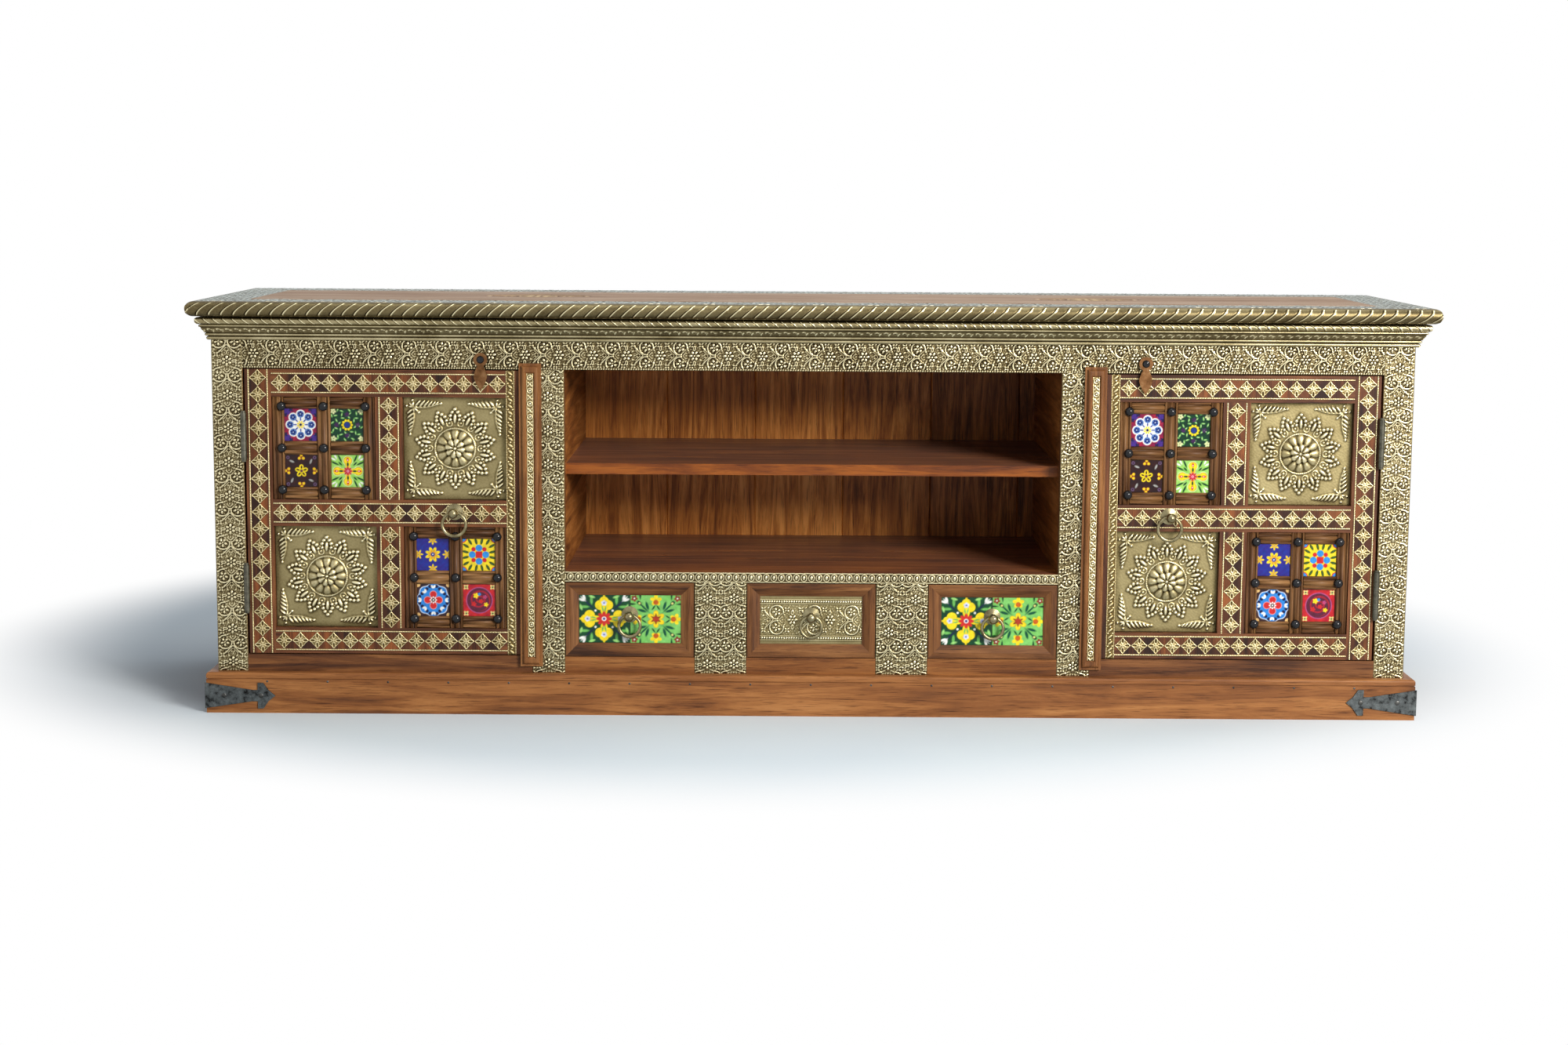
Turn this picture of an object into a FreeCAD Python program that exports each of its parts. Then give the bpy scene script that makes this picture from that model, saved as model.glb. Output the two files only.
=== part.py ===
import FreeCAD, Part
import math
import os

from FreeCAD import Vector

# A low cabinet of hardwood faced with embossed brass: two tiled doors, an open niche with a shelf,
# and three drawers under the niche. Millimetres. X runs along the front, the front faces -Y, Z is up,
# and the origin is on the floor under the middle of the top.

# The top and its mouldings
TOP_LENGTH = 1800.0
TOP_DEPTH = 450.0
HEIGHT = 602.0
TOP_THICKNESS = 23.0
OVERHANG = 31.0
BACK_OVERHANG = 5.0
NOSING_WIDTH = 40.0
BORDER_WIDTH = 80.0
MEDALLION_LENGTH = 165.0
MEDALLION_DEPTH = 110.0
MEDALLION_OFFSET = 415.0
MEDALLION_BOW = 0.62
SHEET = 0.8
BEAD_LOW = 6.0
BEAD_HIGH = 4.5
BAND_HEIGHT = 8.5
FILLET_HEIGHT = 3.5
TORUS_HEIGHT = 11.5
BAND_FOOT = 7.5
BAND_HEAD = 12.5
FILLET_OUT = 14.0

# The plinth and its iron straps
PLINTH_HEIGHT = 60.0
PLINTH_THICKNESS = 45.0
PLINTH_OUT = 15.0
PLINTH_LIP = 8.5
PLINTH_GROOVE = 1.5
PLINTH_ROUND = 4.0
STRAP_THICKNESS = 2.0
STRAP_HEIGHT = 38.0
STRAP_LENGTH = 103.0
STRAP_NECK = 16.5
STRAP_TAPER = 70.0
STRAP_BARB = 77.5
STRAP_BARB_WIDTH = 8.0
STRAP_SHOULDER = 93.0
STRAP_LIFT = 7.0

# The carcass
SIDE_THICKNESS = 18.0
BASE_THICKNESS = 18.0
FRAME_THICKNESS = 20.0
BACK_THICKNESS = 9.0
BACK_INSET = 3.0
BACK_BOARD_WIDTH = 141.0
BACK_SEAM = -88.0
BACK_NARROWEST = 0.2
BACK_BEVEL = 1.5
CORNER_STILE = 44.0
CENTRE_STILE = 48.0
NICHE_SHARE = 0.4
FRIEZE_DROP = 74.5
DOOR_SILL = 25.0
DRAWER_SILL = 24.0
MULLION_WIDTH = 76.0
NICHE_FLOOR = 15.0
NICHE_FLOOR_TOP = 210.0
SHELF_TOP = 366.0
SHELF_THICKNESS = 16.0
SHELF_SETBACK = 31.5

# The doors
DOOR_THICKNESS = 22.0
HINGE_GAP = 3.0
DOOR_GAP = 2.0
DOOR_END_GAP = 1.5
HINGE_STILE = 38.0
FREE_STILE = 34.5
MUNTIN = 39.5
TOP_RAIL = 39.5
MID_RAIL = 39.0
BOTTOM_RAIL = 38.0
TENON_LENGTH = 14.0
TENON_THICKNESS = 7.0
PANEL_RECESS = 10.0
PANEL_THICKNESS = 6.0
PANEL_TONGUE = 6.0
BAND_WIDTH = 25.0
BAND_PITCH = 25.0
BAND_NECK = 3.0
EDGE_STRIP = 2.4
RIBBON_WIDTH = 13.0
ROSETTE_RADIUS = 29.0
ROSETTE_RISE = 5.5
ROSETTE_RING = 1.6
GRID_SET = 1.0
GRID_OUTER_SHARE = 0.117
GRID_MIDDLE_SHARE = 0.133
GRID_BEVEL = 3.5
GRID_BEVEL_DEPTH = 2.0
TILE_LAP = 1.25
TILE_THICKNESS = 5.0
CLAVO_DIAMETER = 13.5
CLAVO_RISE = 6.0
CLAVO_INSET = 14.0
NAIL_DIAMETER = 2.5
NAIL_LENGTH = 6.0
ASTRAGAL_WIDTH = 32.0
ASTRAGAL_THICKNESS = 11.0
ASTRAGAL_LAP = 15.5
ASTRAGAL_ABOVE = 11.0
ASTRAGAL_BELOW = 16.0
ASTRAGAL_ROUND = 4.0
ASTRAGAL_RIM = 3.5
ASTRAGAL_RIM_THICKNESS = 6.5
ASTRAGAL_GROOVE = 10.0
ASTRAGAL_GROOVE_DEPTH = 2.5
ASTRAGAL_SPLAY = 2.0
ASTRAGAL_BORDER = 14.0

# The hinges and latches
BARREL_DIAMETER = 9.0
BARREL_LENGTH = 68.0
KNUCKLES = 5
HINGE_PIN = 4.4
HINGE_INSET = 97.0
LEAF_THICKNESS = 1.2
LEAF_DEPTH = 18.0
PIN_HEAD = 3.0
PIN_HEAD_DIAMETER = 7.0
LATCH_FROM_STILE = 72.0
LATCH_BELOW_CORNICE = 26.0
LATCH_EYE = 20.0
LATCH_DROP = 44.5
LATCH_LEAF = 19.0
LATCH_NECK = 9.0
LATCH_THICKNESS = 3.0
LATCH_SHOULDER = 0.45
LATCH_SHOULDER_BOW = 0.85
LATCH_POINT_BOW = 0.62
LATCH_PIN = 5.0
LATCH_STANDOFF = 3.0
LATCH_COLLAR = 9.0
LATCH_HEAD = 11.0
LATCH_HEAD_RISE = 3.0
LATCH_HEAD_ROUND = 0.75

# The pulls
ROSE_DIAMETER = 24.0
ROSE_RISE = 3.0
ROSE_COLLAR = 8.0
STEM_DIAMETER = 6.0
SHANK_DIAMETER = 6.0
NUT_ACROSS = 11.0
NUT_THICKNESS = 4.0
EYE_OUT = 11.0
EYE_DIAMETER = 11.0
EYE_WIDTH = 5.0
BALL_DIAMETER = 14.5
BALL_NECK = 5.0
BALL_SET = 0.5
CAST_BLEND = 1.0
RING_WIRE = 4.0
RING_HEEL = 5.6
RING_SECTIONS = 6
DOOR_RING = 39.0
DOOR_PULL_RAISE = 3.0
DRAWER_RING = 36.0
DRAWER_PULL_RAISE = 7.0

# The drawers
DRAWER_GAP = 1.0
DRAWER_MOULDING = 12.0
DRAWER_BACKING = 8.0
DRAWER_FLAT = 8.0
DRAWER_BEVEL = 11.0
DRAWER_BEVEL_DEPTH = 5.0
DRAWER_TILE_THICKNESS = 6.0
DRAWER_TILE_LAP = 2.5
DRAWER_REAR_GAP = 42.0
DRAWER_BOX_HEIGHT = 85.0
DRAWER_WALL = 10.0
DRAWER_BOTTOM = 5.0
DRAWER_BOTTOM_LIFT = 5.0
RUNNER_LEDGE = 12.0
RUNNER_LEDGE_HEIGHT = 8.0
RUNNER_FENCE = 6.0
RUNNER_FENCE_HEIGHT = 14.0

# Clearances
FIT = 0.3
TURN = 0.3
RUN = 0.5
RING_PLAY = 0.6
LAP = 0.6
SEAM = 0.4

# Planes and places that follow from the sizes
FACE = OVERHANG - TOP_DEPTH / 2
WOOD = FACE + SHEET
FRAME_BACK = WOOD + FRAME_THICKNESS
BODY_HALF = TOP_LENGTH / 2 - OVERHANG
BODY_BACK = TOP_DEPTH / 2 - BACK_OVERHANG
SIDE_INNER = BODY_HALF - SIDE_THICKNESS
BACK_FACE = BODY_BACK - BACK_INSET - BACK_THICKNESS
TOP_UNDER = HEIGHT - TOP_THICKNESS
BASE_TOP = PLINTH_HEIGHT + BASE_THICKNESS
CORNICE_BOTTOM = TOP_UNDER - BEAD_LOW - BEAD_HIGH - BAND_HEIGHT - FILLET_HEIGHT - TORUS_HEIGHT
FRIEZE_BOTTOM = TOP_UNDER - FRIEZE_DROP
STILE_EDGE = BODY_HALF - CORNER_STILE
NICHE_WIDTH = NICHE_SHARE * TOP_LENGTH
NICHE_HALF = NICHE_WIDTH / 2
CENTRE_EDGE = NICHE_HALF + CENTRE_STILE
NICHE_FLOOR_BOTTOM = NICHE_FLOOR_TOP - NICHE_FLOOR
DOOR_OUT = STILE_EDGE - HINGE_GAP
DOOR_IN = CENTRE_EDGE + DOOR_GAP
DOOR_LOW = PLINTH_HEIGHT + DOOR_SILL + DOOR_END_GAP
DOOR_HIGH = FRIEZE_BOTTOM - DOOR_END_GAP
DOOR_BACK = WOOD + DOOR_THICKNESS
PANEL_WIDTH = (DOOR_OUT - DOOR_IN - HINGE_STILE - MUNTIN - FREE_STILE) / 2
PANEL_HEIGHT = (DOOR_HIGH - DOOR_LOW - TOP_RAIL - MID_RAIL - BOTTOM_RAIL) / 2
PANEL_FACE = WOOD + PANEL_RECESS
WINDOW_X = PANEL_WIDTH * (1 - 2 * GRID_OUTER_SHARE - GRID_MIDDLE_SHARE) / 4
WINDOW_Z = PANEL_HEIGHT * (1 - 2 * GRID_OUTER_SHARE - GRID_MIDDLE_SHARE) / 4
OUTER_COLUMN = (DOOR_OUT - HINGE_STILE - PANEL_WIDTH, DOOR_OUT - HINGE_STILE)
INNER_COLUMN = (DOOR_IN + FREE_STILE, DOOR_IN + FREE_STILE + PANEL_WIDTH)
UPPER_ROW = (DOOR_HIGH - TOP_RAIL - PANEL_HEIGHT, DOOR_HIGH - TOP_RAIL)
LOWER_ROW = (DOOR_LOW + BOTTOM_RAIL, DOOR_LOW + BOTTOM_RAIL + PANEL_HEIGHT)
HINGE_X = (STILE_EDGE + DOOR_OUT) / 2
HINGE_Y = FACE - BARREL_DIAMETER / 2 - RUN
HINGE_CENTRES = (DOOR_LOW + HINGE_INSET, DOOR_HIGH - HINGE_INSET)
DOOR_KNOB_X = (INNER_COLUMN[0] + INNER_COLUMN[1]) / 2
DOOR_KNOB_Z = (LOWER_ROW[1] + UPPER_ROW[0]) / 2 + DOOR_PULL_RAISE
LATCH_X = CENTRE_EDGE + LATCH_FROM_STILE
LATCH_Z = CORNICE_BOTTOM - LATCH_BELOW_CORNICE
DRAWER_OPENING = (NICHE_WIDTH - 2 * MULLION_WIDTH) / 3
DRAWER_LOW = PLINTH_HEIGHT + DRAWER_SILL + DRAWER_GAP
DRAWER_HIGH = NICHE_FLOOR_BOTTOM - DRAWER_GAP
DRAWER_HALF = DRAWER_OPENING / 2 - DRAWER_GAP
DRAWER_TILE_FACE = FACE + DRAWER_MOULDING - DRAWER_TILE_THICKNESS
DRAWER_BACK = FACE + DRAWER_MOULDING + DRAWER_BACKING
DRAWER_PITCH = DRAWER_OPENING + MULLION_WIDTH
DRAWER_MIDDLE = (DRAWER_LOW + DRAWER_HIGH) / 2
DRAWER_KNOB_Z = DRAWER_MIDDLE + DRAWER_PULL_RAISE
MULLION_X = DRAWER_PITCH / 2
SIDES = {"left": -1, "right": 1}
DRAWERS = {"left": -1, "middle": 0, "right": 1}

nodes = {}


def block(x0, x1, y0, y1, z0, z1):
    """A square-cut board between two opposite corners."""
    low, high = min(x0, x1), max(x0, x1)
    return Part.makeBox(high - low, y1 - y0, z1 - z0, Vector(low, y0, z0))


def frustum(x, z, y0, half0, y1, half1):
    """A tapered plug along Y, from one rectangle (half width, half height) to another."""
    wires = []
    for y, (half_x, half_z) in ((y0, half0), (y1, half1)):
        corners = [(-half_x, -half_z), (half_x, -half_z), (half_x, half_z), (-half_x, half_z)]
        points = [Vector(x + dx, y, z + dz) for dx, dz in corners]
        wires.append(Part.makePolygon(points + points[:1]))
    return Part.makeLoft(wires, True, True)


def outline(steps, place):
    """A face from a start point and steps: ("line", end) or ("arc", through, end), placed by a function."""
    here = place(*steps[0])
    edges = []
    for step in steps[1:]:
        end = place(*step[-1])
        if step[0] == "line":
            edges.append(Part.makeLine(here, end))
        else:
            edges.append(Part.Arc(here, place(*step[1]), end).toShape())
        here = end
    edges.append(Part.makeLine(here, place(*steps[0])))
    return Part.Face(Part.Wire(edges))


def turned(profile, x, y, z):
    """A turned piece about a line along Y: profile of (radius, distance out to the front) points."""
    points = [Vector(x + radius, y - out, z) for radius, out in profile]
    face = Part.Face(Part.makePolygon(points + points[:1]))
    return face.revolve(Vector(x, y, z), Vector(0, 1, 0), 360)


def rod_y(diameter, x, z, y0, y1):
    """A round bar along Y."""
    return Part.makeCylinder(diameter / 2, y1 - y0, Vector(x, y0, z), Vector(0, 1, 0))


def rod_z(diameter, x, y, z0, z1):
    """A round bar along Z."""
    return Part.makeCylinder(diameter / 2, z1 - z0, Vector(x, y, z0))


def mitred(steps, half, front, back):
    """Front, left and right runs of one mitred moulding; its profile is (distance out, height)."""
    reach = max(point[0] for step in steps[1:] for point in step[1:])
    inward = min(0.0, steps[0][0])
    out = 2 * reach + SEAM
    front_face = outline(steps, lambda p, z: Vector(-half - out, front - p, z))
    front_run = front_face.extrude(Vector(2 * (half + out), 0, 0))
    side_face = outline(steps, lambda p, z: Vector(half + p, front - out, z))
    right_run = side_face.extrude(Vector(0, back - front + out, 0))
    left_run = right_run.mirror(Vector(0, 0, 0), Vector(1, 0, 0))
    deep = half + inward
    corners = [
        Vector(-half - out, front - out, 0),
        Vector(half + out, front - out, 0),
        Vector(half - deep, front + deep, 0),
        Vector(-half + deep, front + deep, 0),
    ]
    wedge = Part.Face(Part.makePolygon(corners + corners[:1])).extrude(Vector(0, 0, HEIGHT))
    return [front_run.common(wedge), left_run.cut(wedge), right_run.cut(wedge)]


def keep(name, solids):
    """Note the solids of one node."""
    nodes[name] = solids if isinstance(solids, list) else [solids]


# The plinth: thick boards with a moulded lip, mitred at the front corners
def plinth_steps():
    lip = PLINTH_HEIGHT - PLINTH_LIP
    rounded = PLINTH_HEIGHT - PLINTH_ROUND
    slack = PLINTH_ROUND * (1 - math.sqrt(0.5))
    return [
        (PLINTH_OUT - PLINTH_THICKNESS, 0.0),
        ("line", (PLINTH_OUT, 0.0)),
        ("line", (PLINTH_OUT, lip - PLINTH_GROOVE)),
        ("line", (PLINTH_OUT - PLINTH_GROOVE, lip - PLINTH_GROOVE)),
        ("line", (PLINTH_OUT - PLINTH_GROOVE, lip)),
        ("line", (PLINTH_OUT, lip)),
        ("line", (PLINTH_OUT, rounded)),
        ("arc", (PLINTH_OUT - slack, PLINTH_HEIGHT - slack), (PLINTH_OUT - PLINTH_ROUND, PLINTH_HEIGHT)),
        ("line", (PLINTH_OUT - PLINTH_THICKNESS, PLINTH_HEIGHT)),
    ]


plinth = mitred(plinth_steps(), BODY_HALF, FACE, BODY_BACK)
plinth_inner = BODY_HALF + PLINTH_OUT - PLINTH_THICKNESS
plinth_back = block(-plinth_inner, plinth_inner, BODY_BACK - PLINTH_THICKNESS, BODY_BACK, 0, PLINTH_HEIGHT)
keep("plinth_front", plinth[0])
keep("plinth_returns", plinth[1:] + [plinth_back])


# Iron straps that taper to a barbed arrow end, bent round the front corners of the plinth
def strap_face(place):
    half, neck = STRAP_HEIGHT / 2, STRAP_NECK / 2
    middle = STRAP_LIFT + half
    barb_end = STRAP_BARB + STRAP_BARB_WIDTH
    lower = [
        (0.0, half),
        (STRAP_TAPER, neck),
        (STRAP_BARB, neck),
        (STRAP_BARB, half),
        (barb_end, half),
        (STRAP_SHOULDER, neck),
    ]
    steps = [(0.0, middle - half)]
    steps += [("line", (along, middle - across)) for along, across in lower[1:]]
    steps.append(("line", (STRAP_LENGTH, middle)))
    steps += [("line", (along, middle + across)) for along, across in reversed(lower)]
    return outline(steps, place)


strap_x = BODY_HALF + PLINTH_OUT
strap_y = FACE - PLINTH_OUT
straps = []
for side in SIDES.values():
    on_front = strap_face(lambda p, z: Vector(side * (strap_x + STRAP_THICKNESS - p), strap_y, z))
    on_end = strap_face(lambda p, z: Vector(side * strap_x, strap_y - STRAP_THICKNESS + p, z))
    front_leg = on_front.extrude(Vector(0, -STRAP_THICKNESS, 0))
    end_leg = on_end.extrude(Vector(side * STRAP_THICKNESS, 0, 0))
    straps.append(front_leg.fuse(end_leg).removeSplitter())
keep("corner_straps", straps)

# The carcass boards
keep("base_board", block(-SIDE_INNER, SIDE_INNER, FRAME_BACK, BACK_FACE, PLINTH_HEIGHT, BASE_TOP))
side_panels, partitions, stiles, door_sills = [], [], [], []
for side in SIDES.values():
    side_panels.append(
        block(side * SIDE_INNER, side * BODY_HALF, FRAME_BACK, BODY_BACK, PLINTH_HEIGHT, TOP_UNDER)
    )
    partition_out = NICHE_HALF + SIDE_THICKNESS
    partitions.append(
        block(side * NICHE_HALF, side * partition_out, FRAME_BACK, BACK_FACE, BASE_TOP, TOP_UNDER)
    )
    stiles.append(block(side * STILE_EDGE, side * BODY_HALF, WOOD, FRAME_BACK, PLINTH_HEIGHT, TOP_UNDER))
    stiles.append(
        block(side * NICHE_HALF, side * CENTRE_EDGE, WOOD, FRAME_BACK, PLINTH_HEIGHT, FRIEZE_BOTTOM)
    )
    sill_top = PLINTH_HEIGHT + DOOR_SILL
    door_sills.append(
        block(side * CENTRE_EDGE, side * STILE_EDGE, FACE, FRAME_BACK, PLINTH_HEIGHT, sill_top)
    )
keep("side_panels", side_panels)
keep("partitions", partitions)
keep("front_stiles", stiles)
keep("door_sills", door_sills)
keep("frieze_rail", block(-STILE_EDGE, STILE_EDGE, WOOD, FRAME_BACK, FRIEZE_BOTTOM, TOP_UNDER))

drawer_sills, runners = [], []
for place in DRAWERS.values():
    middle = place * DRAWER_PITCH
    left, right = middle - DRAWER_OPENING / 2, middle + DRAWER_OPENING / 2
    sill_top = PLINTH_HEIGHT + DRAWER_SILL
    drawer_sills.append(block(left, right, FACE, FRAME_BACK, PLINTH_HEIGHT, sill_top))
    for side in SIDES.values():
        wall = middle + side * DRAWER_OPENING / 2
        fence = wall - side * RUNNER_FENCE
        ledge = fence - side * RUNNER_LEDGE
        ledge_top = BASE_TOP + RUNNER_LEDGE_HEIGHT
        fence_top = ledge_top + RUNNER_FENCE_HEIGHT
        strip = block(wall, ledge, FRAME_BACK, BACK_FACE, BASE_TOP, ledge_top)
        rail = block(wall, fence, FRAME_BACK, BACK_FACE, BASE_TOP, fence_top)
        runners.append(strip.fuse(rail).removeSplitter())
keep("drawer_sills", drawer_sills)
keep("drawer_runners", runners)
mullions = []
for side in SIDES.values():
    inner, outer = side * MULLION_X - MULLION_WIDTH / 2, side * MULLION_X + MULLION_WIDTH / 2
    mullions.append(block(inner, outer, WOOD, FRAME_BACK, PLINTH_HEIGHT, NICHE_FLOOR_BOTTOM))
keep("drawer_mullions", mullions)
keep("niche_floor", block(-NICHE_HALF, NICHE_HALF, WOOD, BACK_FACE, NICHE_FLOOR_BOTTOM, NICHE_FLOOR_TOP))
shelf_front = FACE + SHELF_SETBACK
shelf_bottom = SHELF_TOP - SHELF_THICKNESS
keep("niche_shelf", block(-NICHE_HALF, NICHE_HALF, shelf_front, BACK_FACE, shelf_bottom, SHELF_TOP))


# The back: upright boards with a small V at each joint
def back_board(x0, x1):
    corners = [
        (x0 + BACK_BEVEL, BACK_FACE),
        (x1 - BACK_BEVEL, BACK_FACE),
        (x1, BACK_FACE + BACK_BEVEL),
        (x1, BACK_FACE + BACK_THICKNESS),
        (x0, BACK_FACE + BACK_THICKNESS),
        (x0, BACK_FACE + BACK_BEVEL),
    ]
    points = [Vector(x, y, PLINTH_HEIGHT) for x, y in corners]
    face = Part.Face(Part.makePolygon(points + points[:1]))
    return face.extrude(Vector(0, 0, TOP_UNDER - PLINTH_HEIGHT))


first_seam = math.ceil((-SIDE_INNER - BACK_SEAM) / BACK_BOARD_WIDTH + BACK_NARROWEST)
last_seam = math.floor((SIDE_INNER - BACK_SEAM) / BACK_BOARD_WIDTH - BACK_NARROWEST)
seams = [BACK_SEAM + count * BACK_BOARD_WIDTH for count in range(first_seam, last_seam + 1)]
edges = [-SIDE_INNER] + seams + [SIDE_INNER]
keep("back_boards", [back_board(x0, x1) for x0, x1 in zip(edges, edges[1:])])

# The top: a board in a bullnosed frame, with a brass border let in flush and two brass medallions
nosing_round = TOP_THICKNESS / 2
nosing_steps = [
    (-NOSING_WIDTH, TOP_UNDER),
    ("line", (-nosing_round, TOP_UNDER)),
    ("arc", (0.0, TOP_UNDER + nosing_round), (-nosing_round, HEIGHT)),
    ("line", (-nosing_round, HEIGHT - SHEET)),
    ("line", (-NOSING_WIDTH, HEIGHT - SHEET)),
]
keep("top_nosing", mitred(nosing_steps, TOP_LENGTH / 2, -TOP_DEPTH / 2, TOP_DEPTH / 2))
board_x = TOP_LENGTH / 2 - NOSING_WIDTH
board_front = NOSING_WIDTH - TOP_DEPTH / 2
field_x = TOP_LENGTH / 2 - BORDER_WIDTH
field_y = TOP_DEPTH / 2 - BORDER_WIDTH
border_x = TOP_LENGTH / 2 - nosing_round
border_front = nosing_round - TOP_DEPTH / 2
border = block(-border_x, border_x, border_front, TOP_DEPTH / 2, HEIGHT - SHEET, HEIGHT)
border = border.cut(block(-field_x, field_x, -field_y, field_y, HEIGHT - SHEET, HEIGHT))


def medallion(x):
    """A pointed leaf shape, drawn by four arcs that bow outwards."""
    long, short = MEDALLION_LENGTH / 2, MEDALLION_DEPTH / 2
    bow = MEDALLION_BOW
    steps = [
        (x - long, 0.0),
        ("arc", (x - long * bow, -short * bow), (x, -short)),
        ("arc", (x + long * bow, -short * bow), (x + long, 0.0)),
        ("arc", (x + long * bow, short * bow), (x, short)),
        ("arc", (x - long * bow, short * bow), (x - long, 0.0)),
    ]
    edges = []
    here = steps[0]
    for _, through, end in steps[1:]:
        corners = [Vector(px, py, HEIGHT - SHEET) for px, py in (here, through, end)]
        edges.append(Part.Arc(*corners).toShape())
        here = end
    return Part.Face(Part.Wire(edges)).extrude(Vector(0, 0, SHEET))


medallions = [medallion(side * MEDALLION_OFFSET) for side in SIDES.values()]
top_board = block(-board_x, board_x, board_front, TOP_DEPTH / 2, TOP_UNDER, HEIGHT)
for inlay in [border] + medallions:
    top_board = top_board.cut(inlay)
keep("top_board", top_board)
keep("top_border", [border] + medallions)

# The cornice under the top: two beads, a leaning band, a fillet and a torus, mitred round the front
bead_1 = CORNICE_BOTTOM + BEAD_LOW
bead_2 = bead_1 + BEAD_HIGH
band_top = bead_2 + BAND_HEIGHT
fillet_top = band_top + FILLET_HEIGHT
bead_foot = BAND_FOOT / 3
cornice_steps = [
    (0.0, CORNICE_BOTTOM),
    ("line", (bead_foot, CORNICE_BOTTOM)),
    ("arc", (bead_foot + BEAD_LOW / 2, CORNICE_BOTTOM + BEAD_LOW / 2), (bead_foot, bead_1)),
    ("line", (2 * bead_foot, bead_1)),
    ("arc", (2 * bead_foot + BEAD_HIGH / 2, bead_1 + BEAD_HIGH / 2), (2 * bead_foot, bead_2)),
    ("line", (BAND_FOOT, bead_2)),
    ("line", (BAND_HEAD, band_top)),
    ("line", (FILLET_OUT, band_top)),
    ("line", (FILLET_OUT, fillet_top)),
    ("arc", (FILLET_OUT + TORUS_HEIGHT / 2, fillet_top + TORUS_HEIGHT / 2), (FILLET_OUT, TOP_UNDER)),
    ("line", (0.0, TOP_UNDER)),
]
keep("cornice", mitred(cornice_steps, BODY_HALF, FACE, BODY_BACK))

# Thin brass sheets nailed over the frieze, the stiles, the mullions and the edge of the niche floor
sheets = [block(-STILE_EDGE, STILE_EDGE, FACE, WOOD, FRIEZE_BOTTOM, TOP_UNDER)]
for side in SIDES.values():
    sheets.append(block(side * STILE_EDGE, side * BODY_HALF, FACE, WOOD, PLINTH_HEIGHT, TOP_UNDER))
    sheets.append(block(side * NICHE_HALF, side * CENTRE_EDGE, FACE, WOOD, PLINTH_HEIGHT, FRIEZE_BOTTOM))
    inner, outer = side * MULLION_X - MULLION_WIDTH / 2, side * MULLION_X + MULLION_WIDTH / 2
    sheets.append(block(inner, outer, FACE, WOOD, PLINTH_HEIGHT, NICHE_FLOOR_BOTTOM))
sheets.append(block(-NICHE_HALF, NICHE_HALF, FACE, WOOD, NICHE_FLOOR_BOTTOM, NICHE_FLOOR_TOP))
keep("frame_sheets", sheets)


# Butt hinges: knuckles of the two leaves by turns along one pin, the leaves hidden in the gap
def hinge(side, middle):
    """Frame leaf, door leaf and pin of one hinge."""
    axis_x = side * HINGE_X
    low = middle - BARREL_LENGTH / 2
    knuckle = BARREL_LENGTH / KNUCKLES
    bore = rod_z(HINGE_PIN + 2 * TURN, axis_x, HINGE_Y, low, low + BARREL_LENGTH)
    leaves = []
    for first, edge, inward in ((0, STILE_EDGE, -1), (1, DOOR_OUT, 1)):
        plate_x = side * (edge + inward * LEAF_THICKNESS)
        solid = None
        for count in range(first, KNUCKLES, 2):
            z0 = low + count * knuckle + (TURN / 2 if count else 0.0)
            z1 = low + (count + 1) * knuckle - (TURN / 2 if count < KNUCKLES - 1 else 0.0)
            barrel = rod_z(BARREL_DIAMETER, axis_x, HINGE_Y, z0, z1)
            tongue = block(side * edge, plate_x, HINGE_Y, FACE, z0, z1)
            piece = barrel.fuse(tongue)
            solid = piece if solid is None else solid.fuse(piece)
        plate = block(side * edge, plate_x, FACE, FACE + LEAF_DEPTH, low, low + BARREL_LENGTH)
        leaves.append(solid.fuse(plate).cut(bore).removeSplitter())
    head = PIN_HEAD
    pin = rod_z(HINGE_PIN, axis_x, HINGE_Y, low - head, low + BARREL_LENGTH + head)
    for z in (low - head, low + BARREL_LENGTH + TURN):
        pin = pin.fuse(rod_z(PIN_HEAD_DIAMETER, axis_x, HINGE_Y, z, z + head - TURN))
    return leaves[0], leaves[1], pin.removeSplitter()


frame_leaves, pins, door_leaves = [], [], {}
for name, side in SIDES.items():
    door_leaves[name] = []
    for middle in HINGE_CENTRES:
        frame_leaf, door_leaf, pin = hinge(side, middle)
        frame_leaves.append(frame_leaf)
        door_leaves[name].append(door_leaf)
        pins.append(pin)
keep("hinge_frame_leaves", frame_leaves)
keep("hinge_pins", pins)


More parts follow.
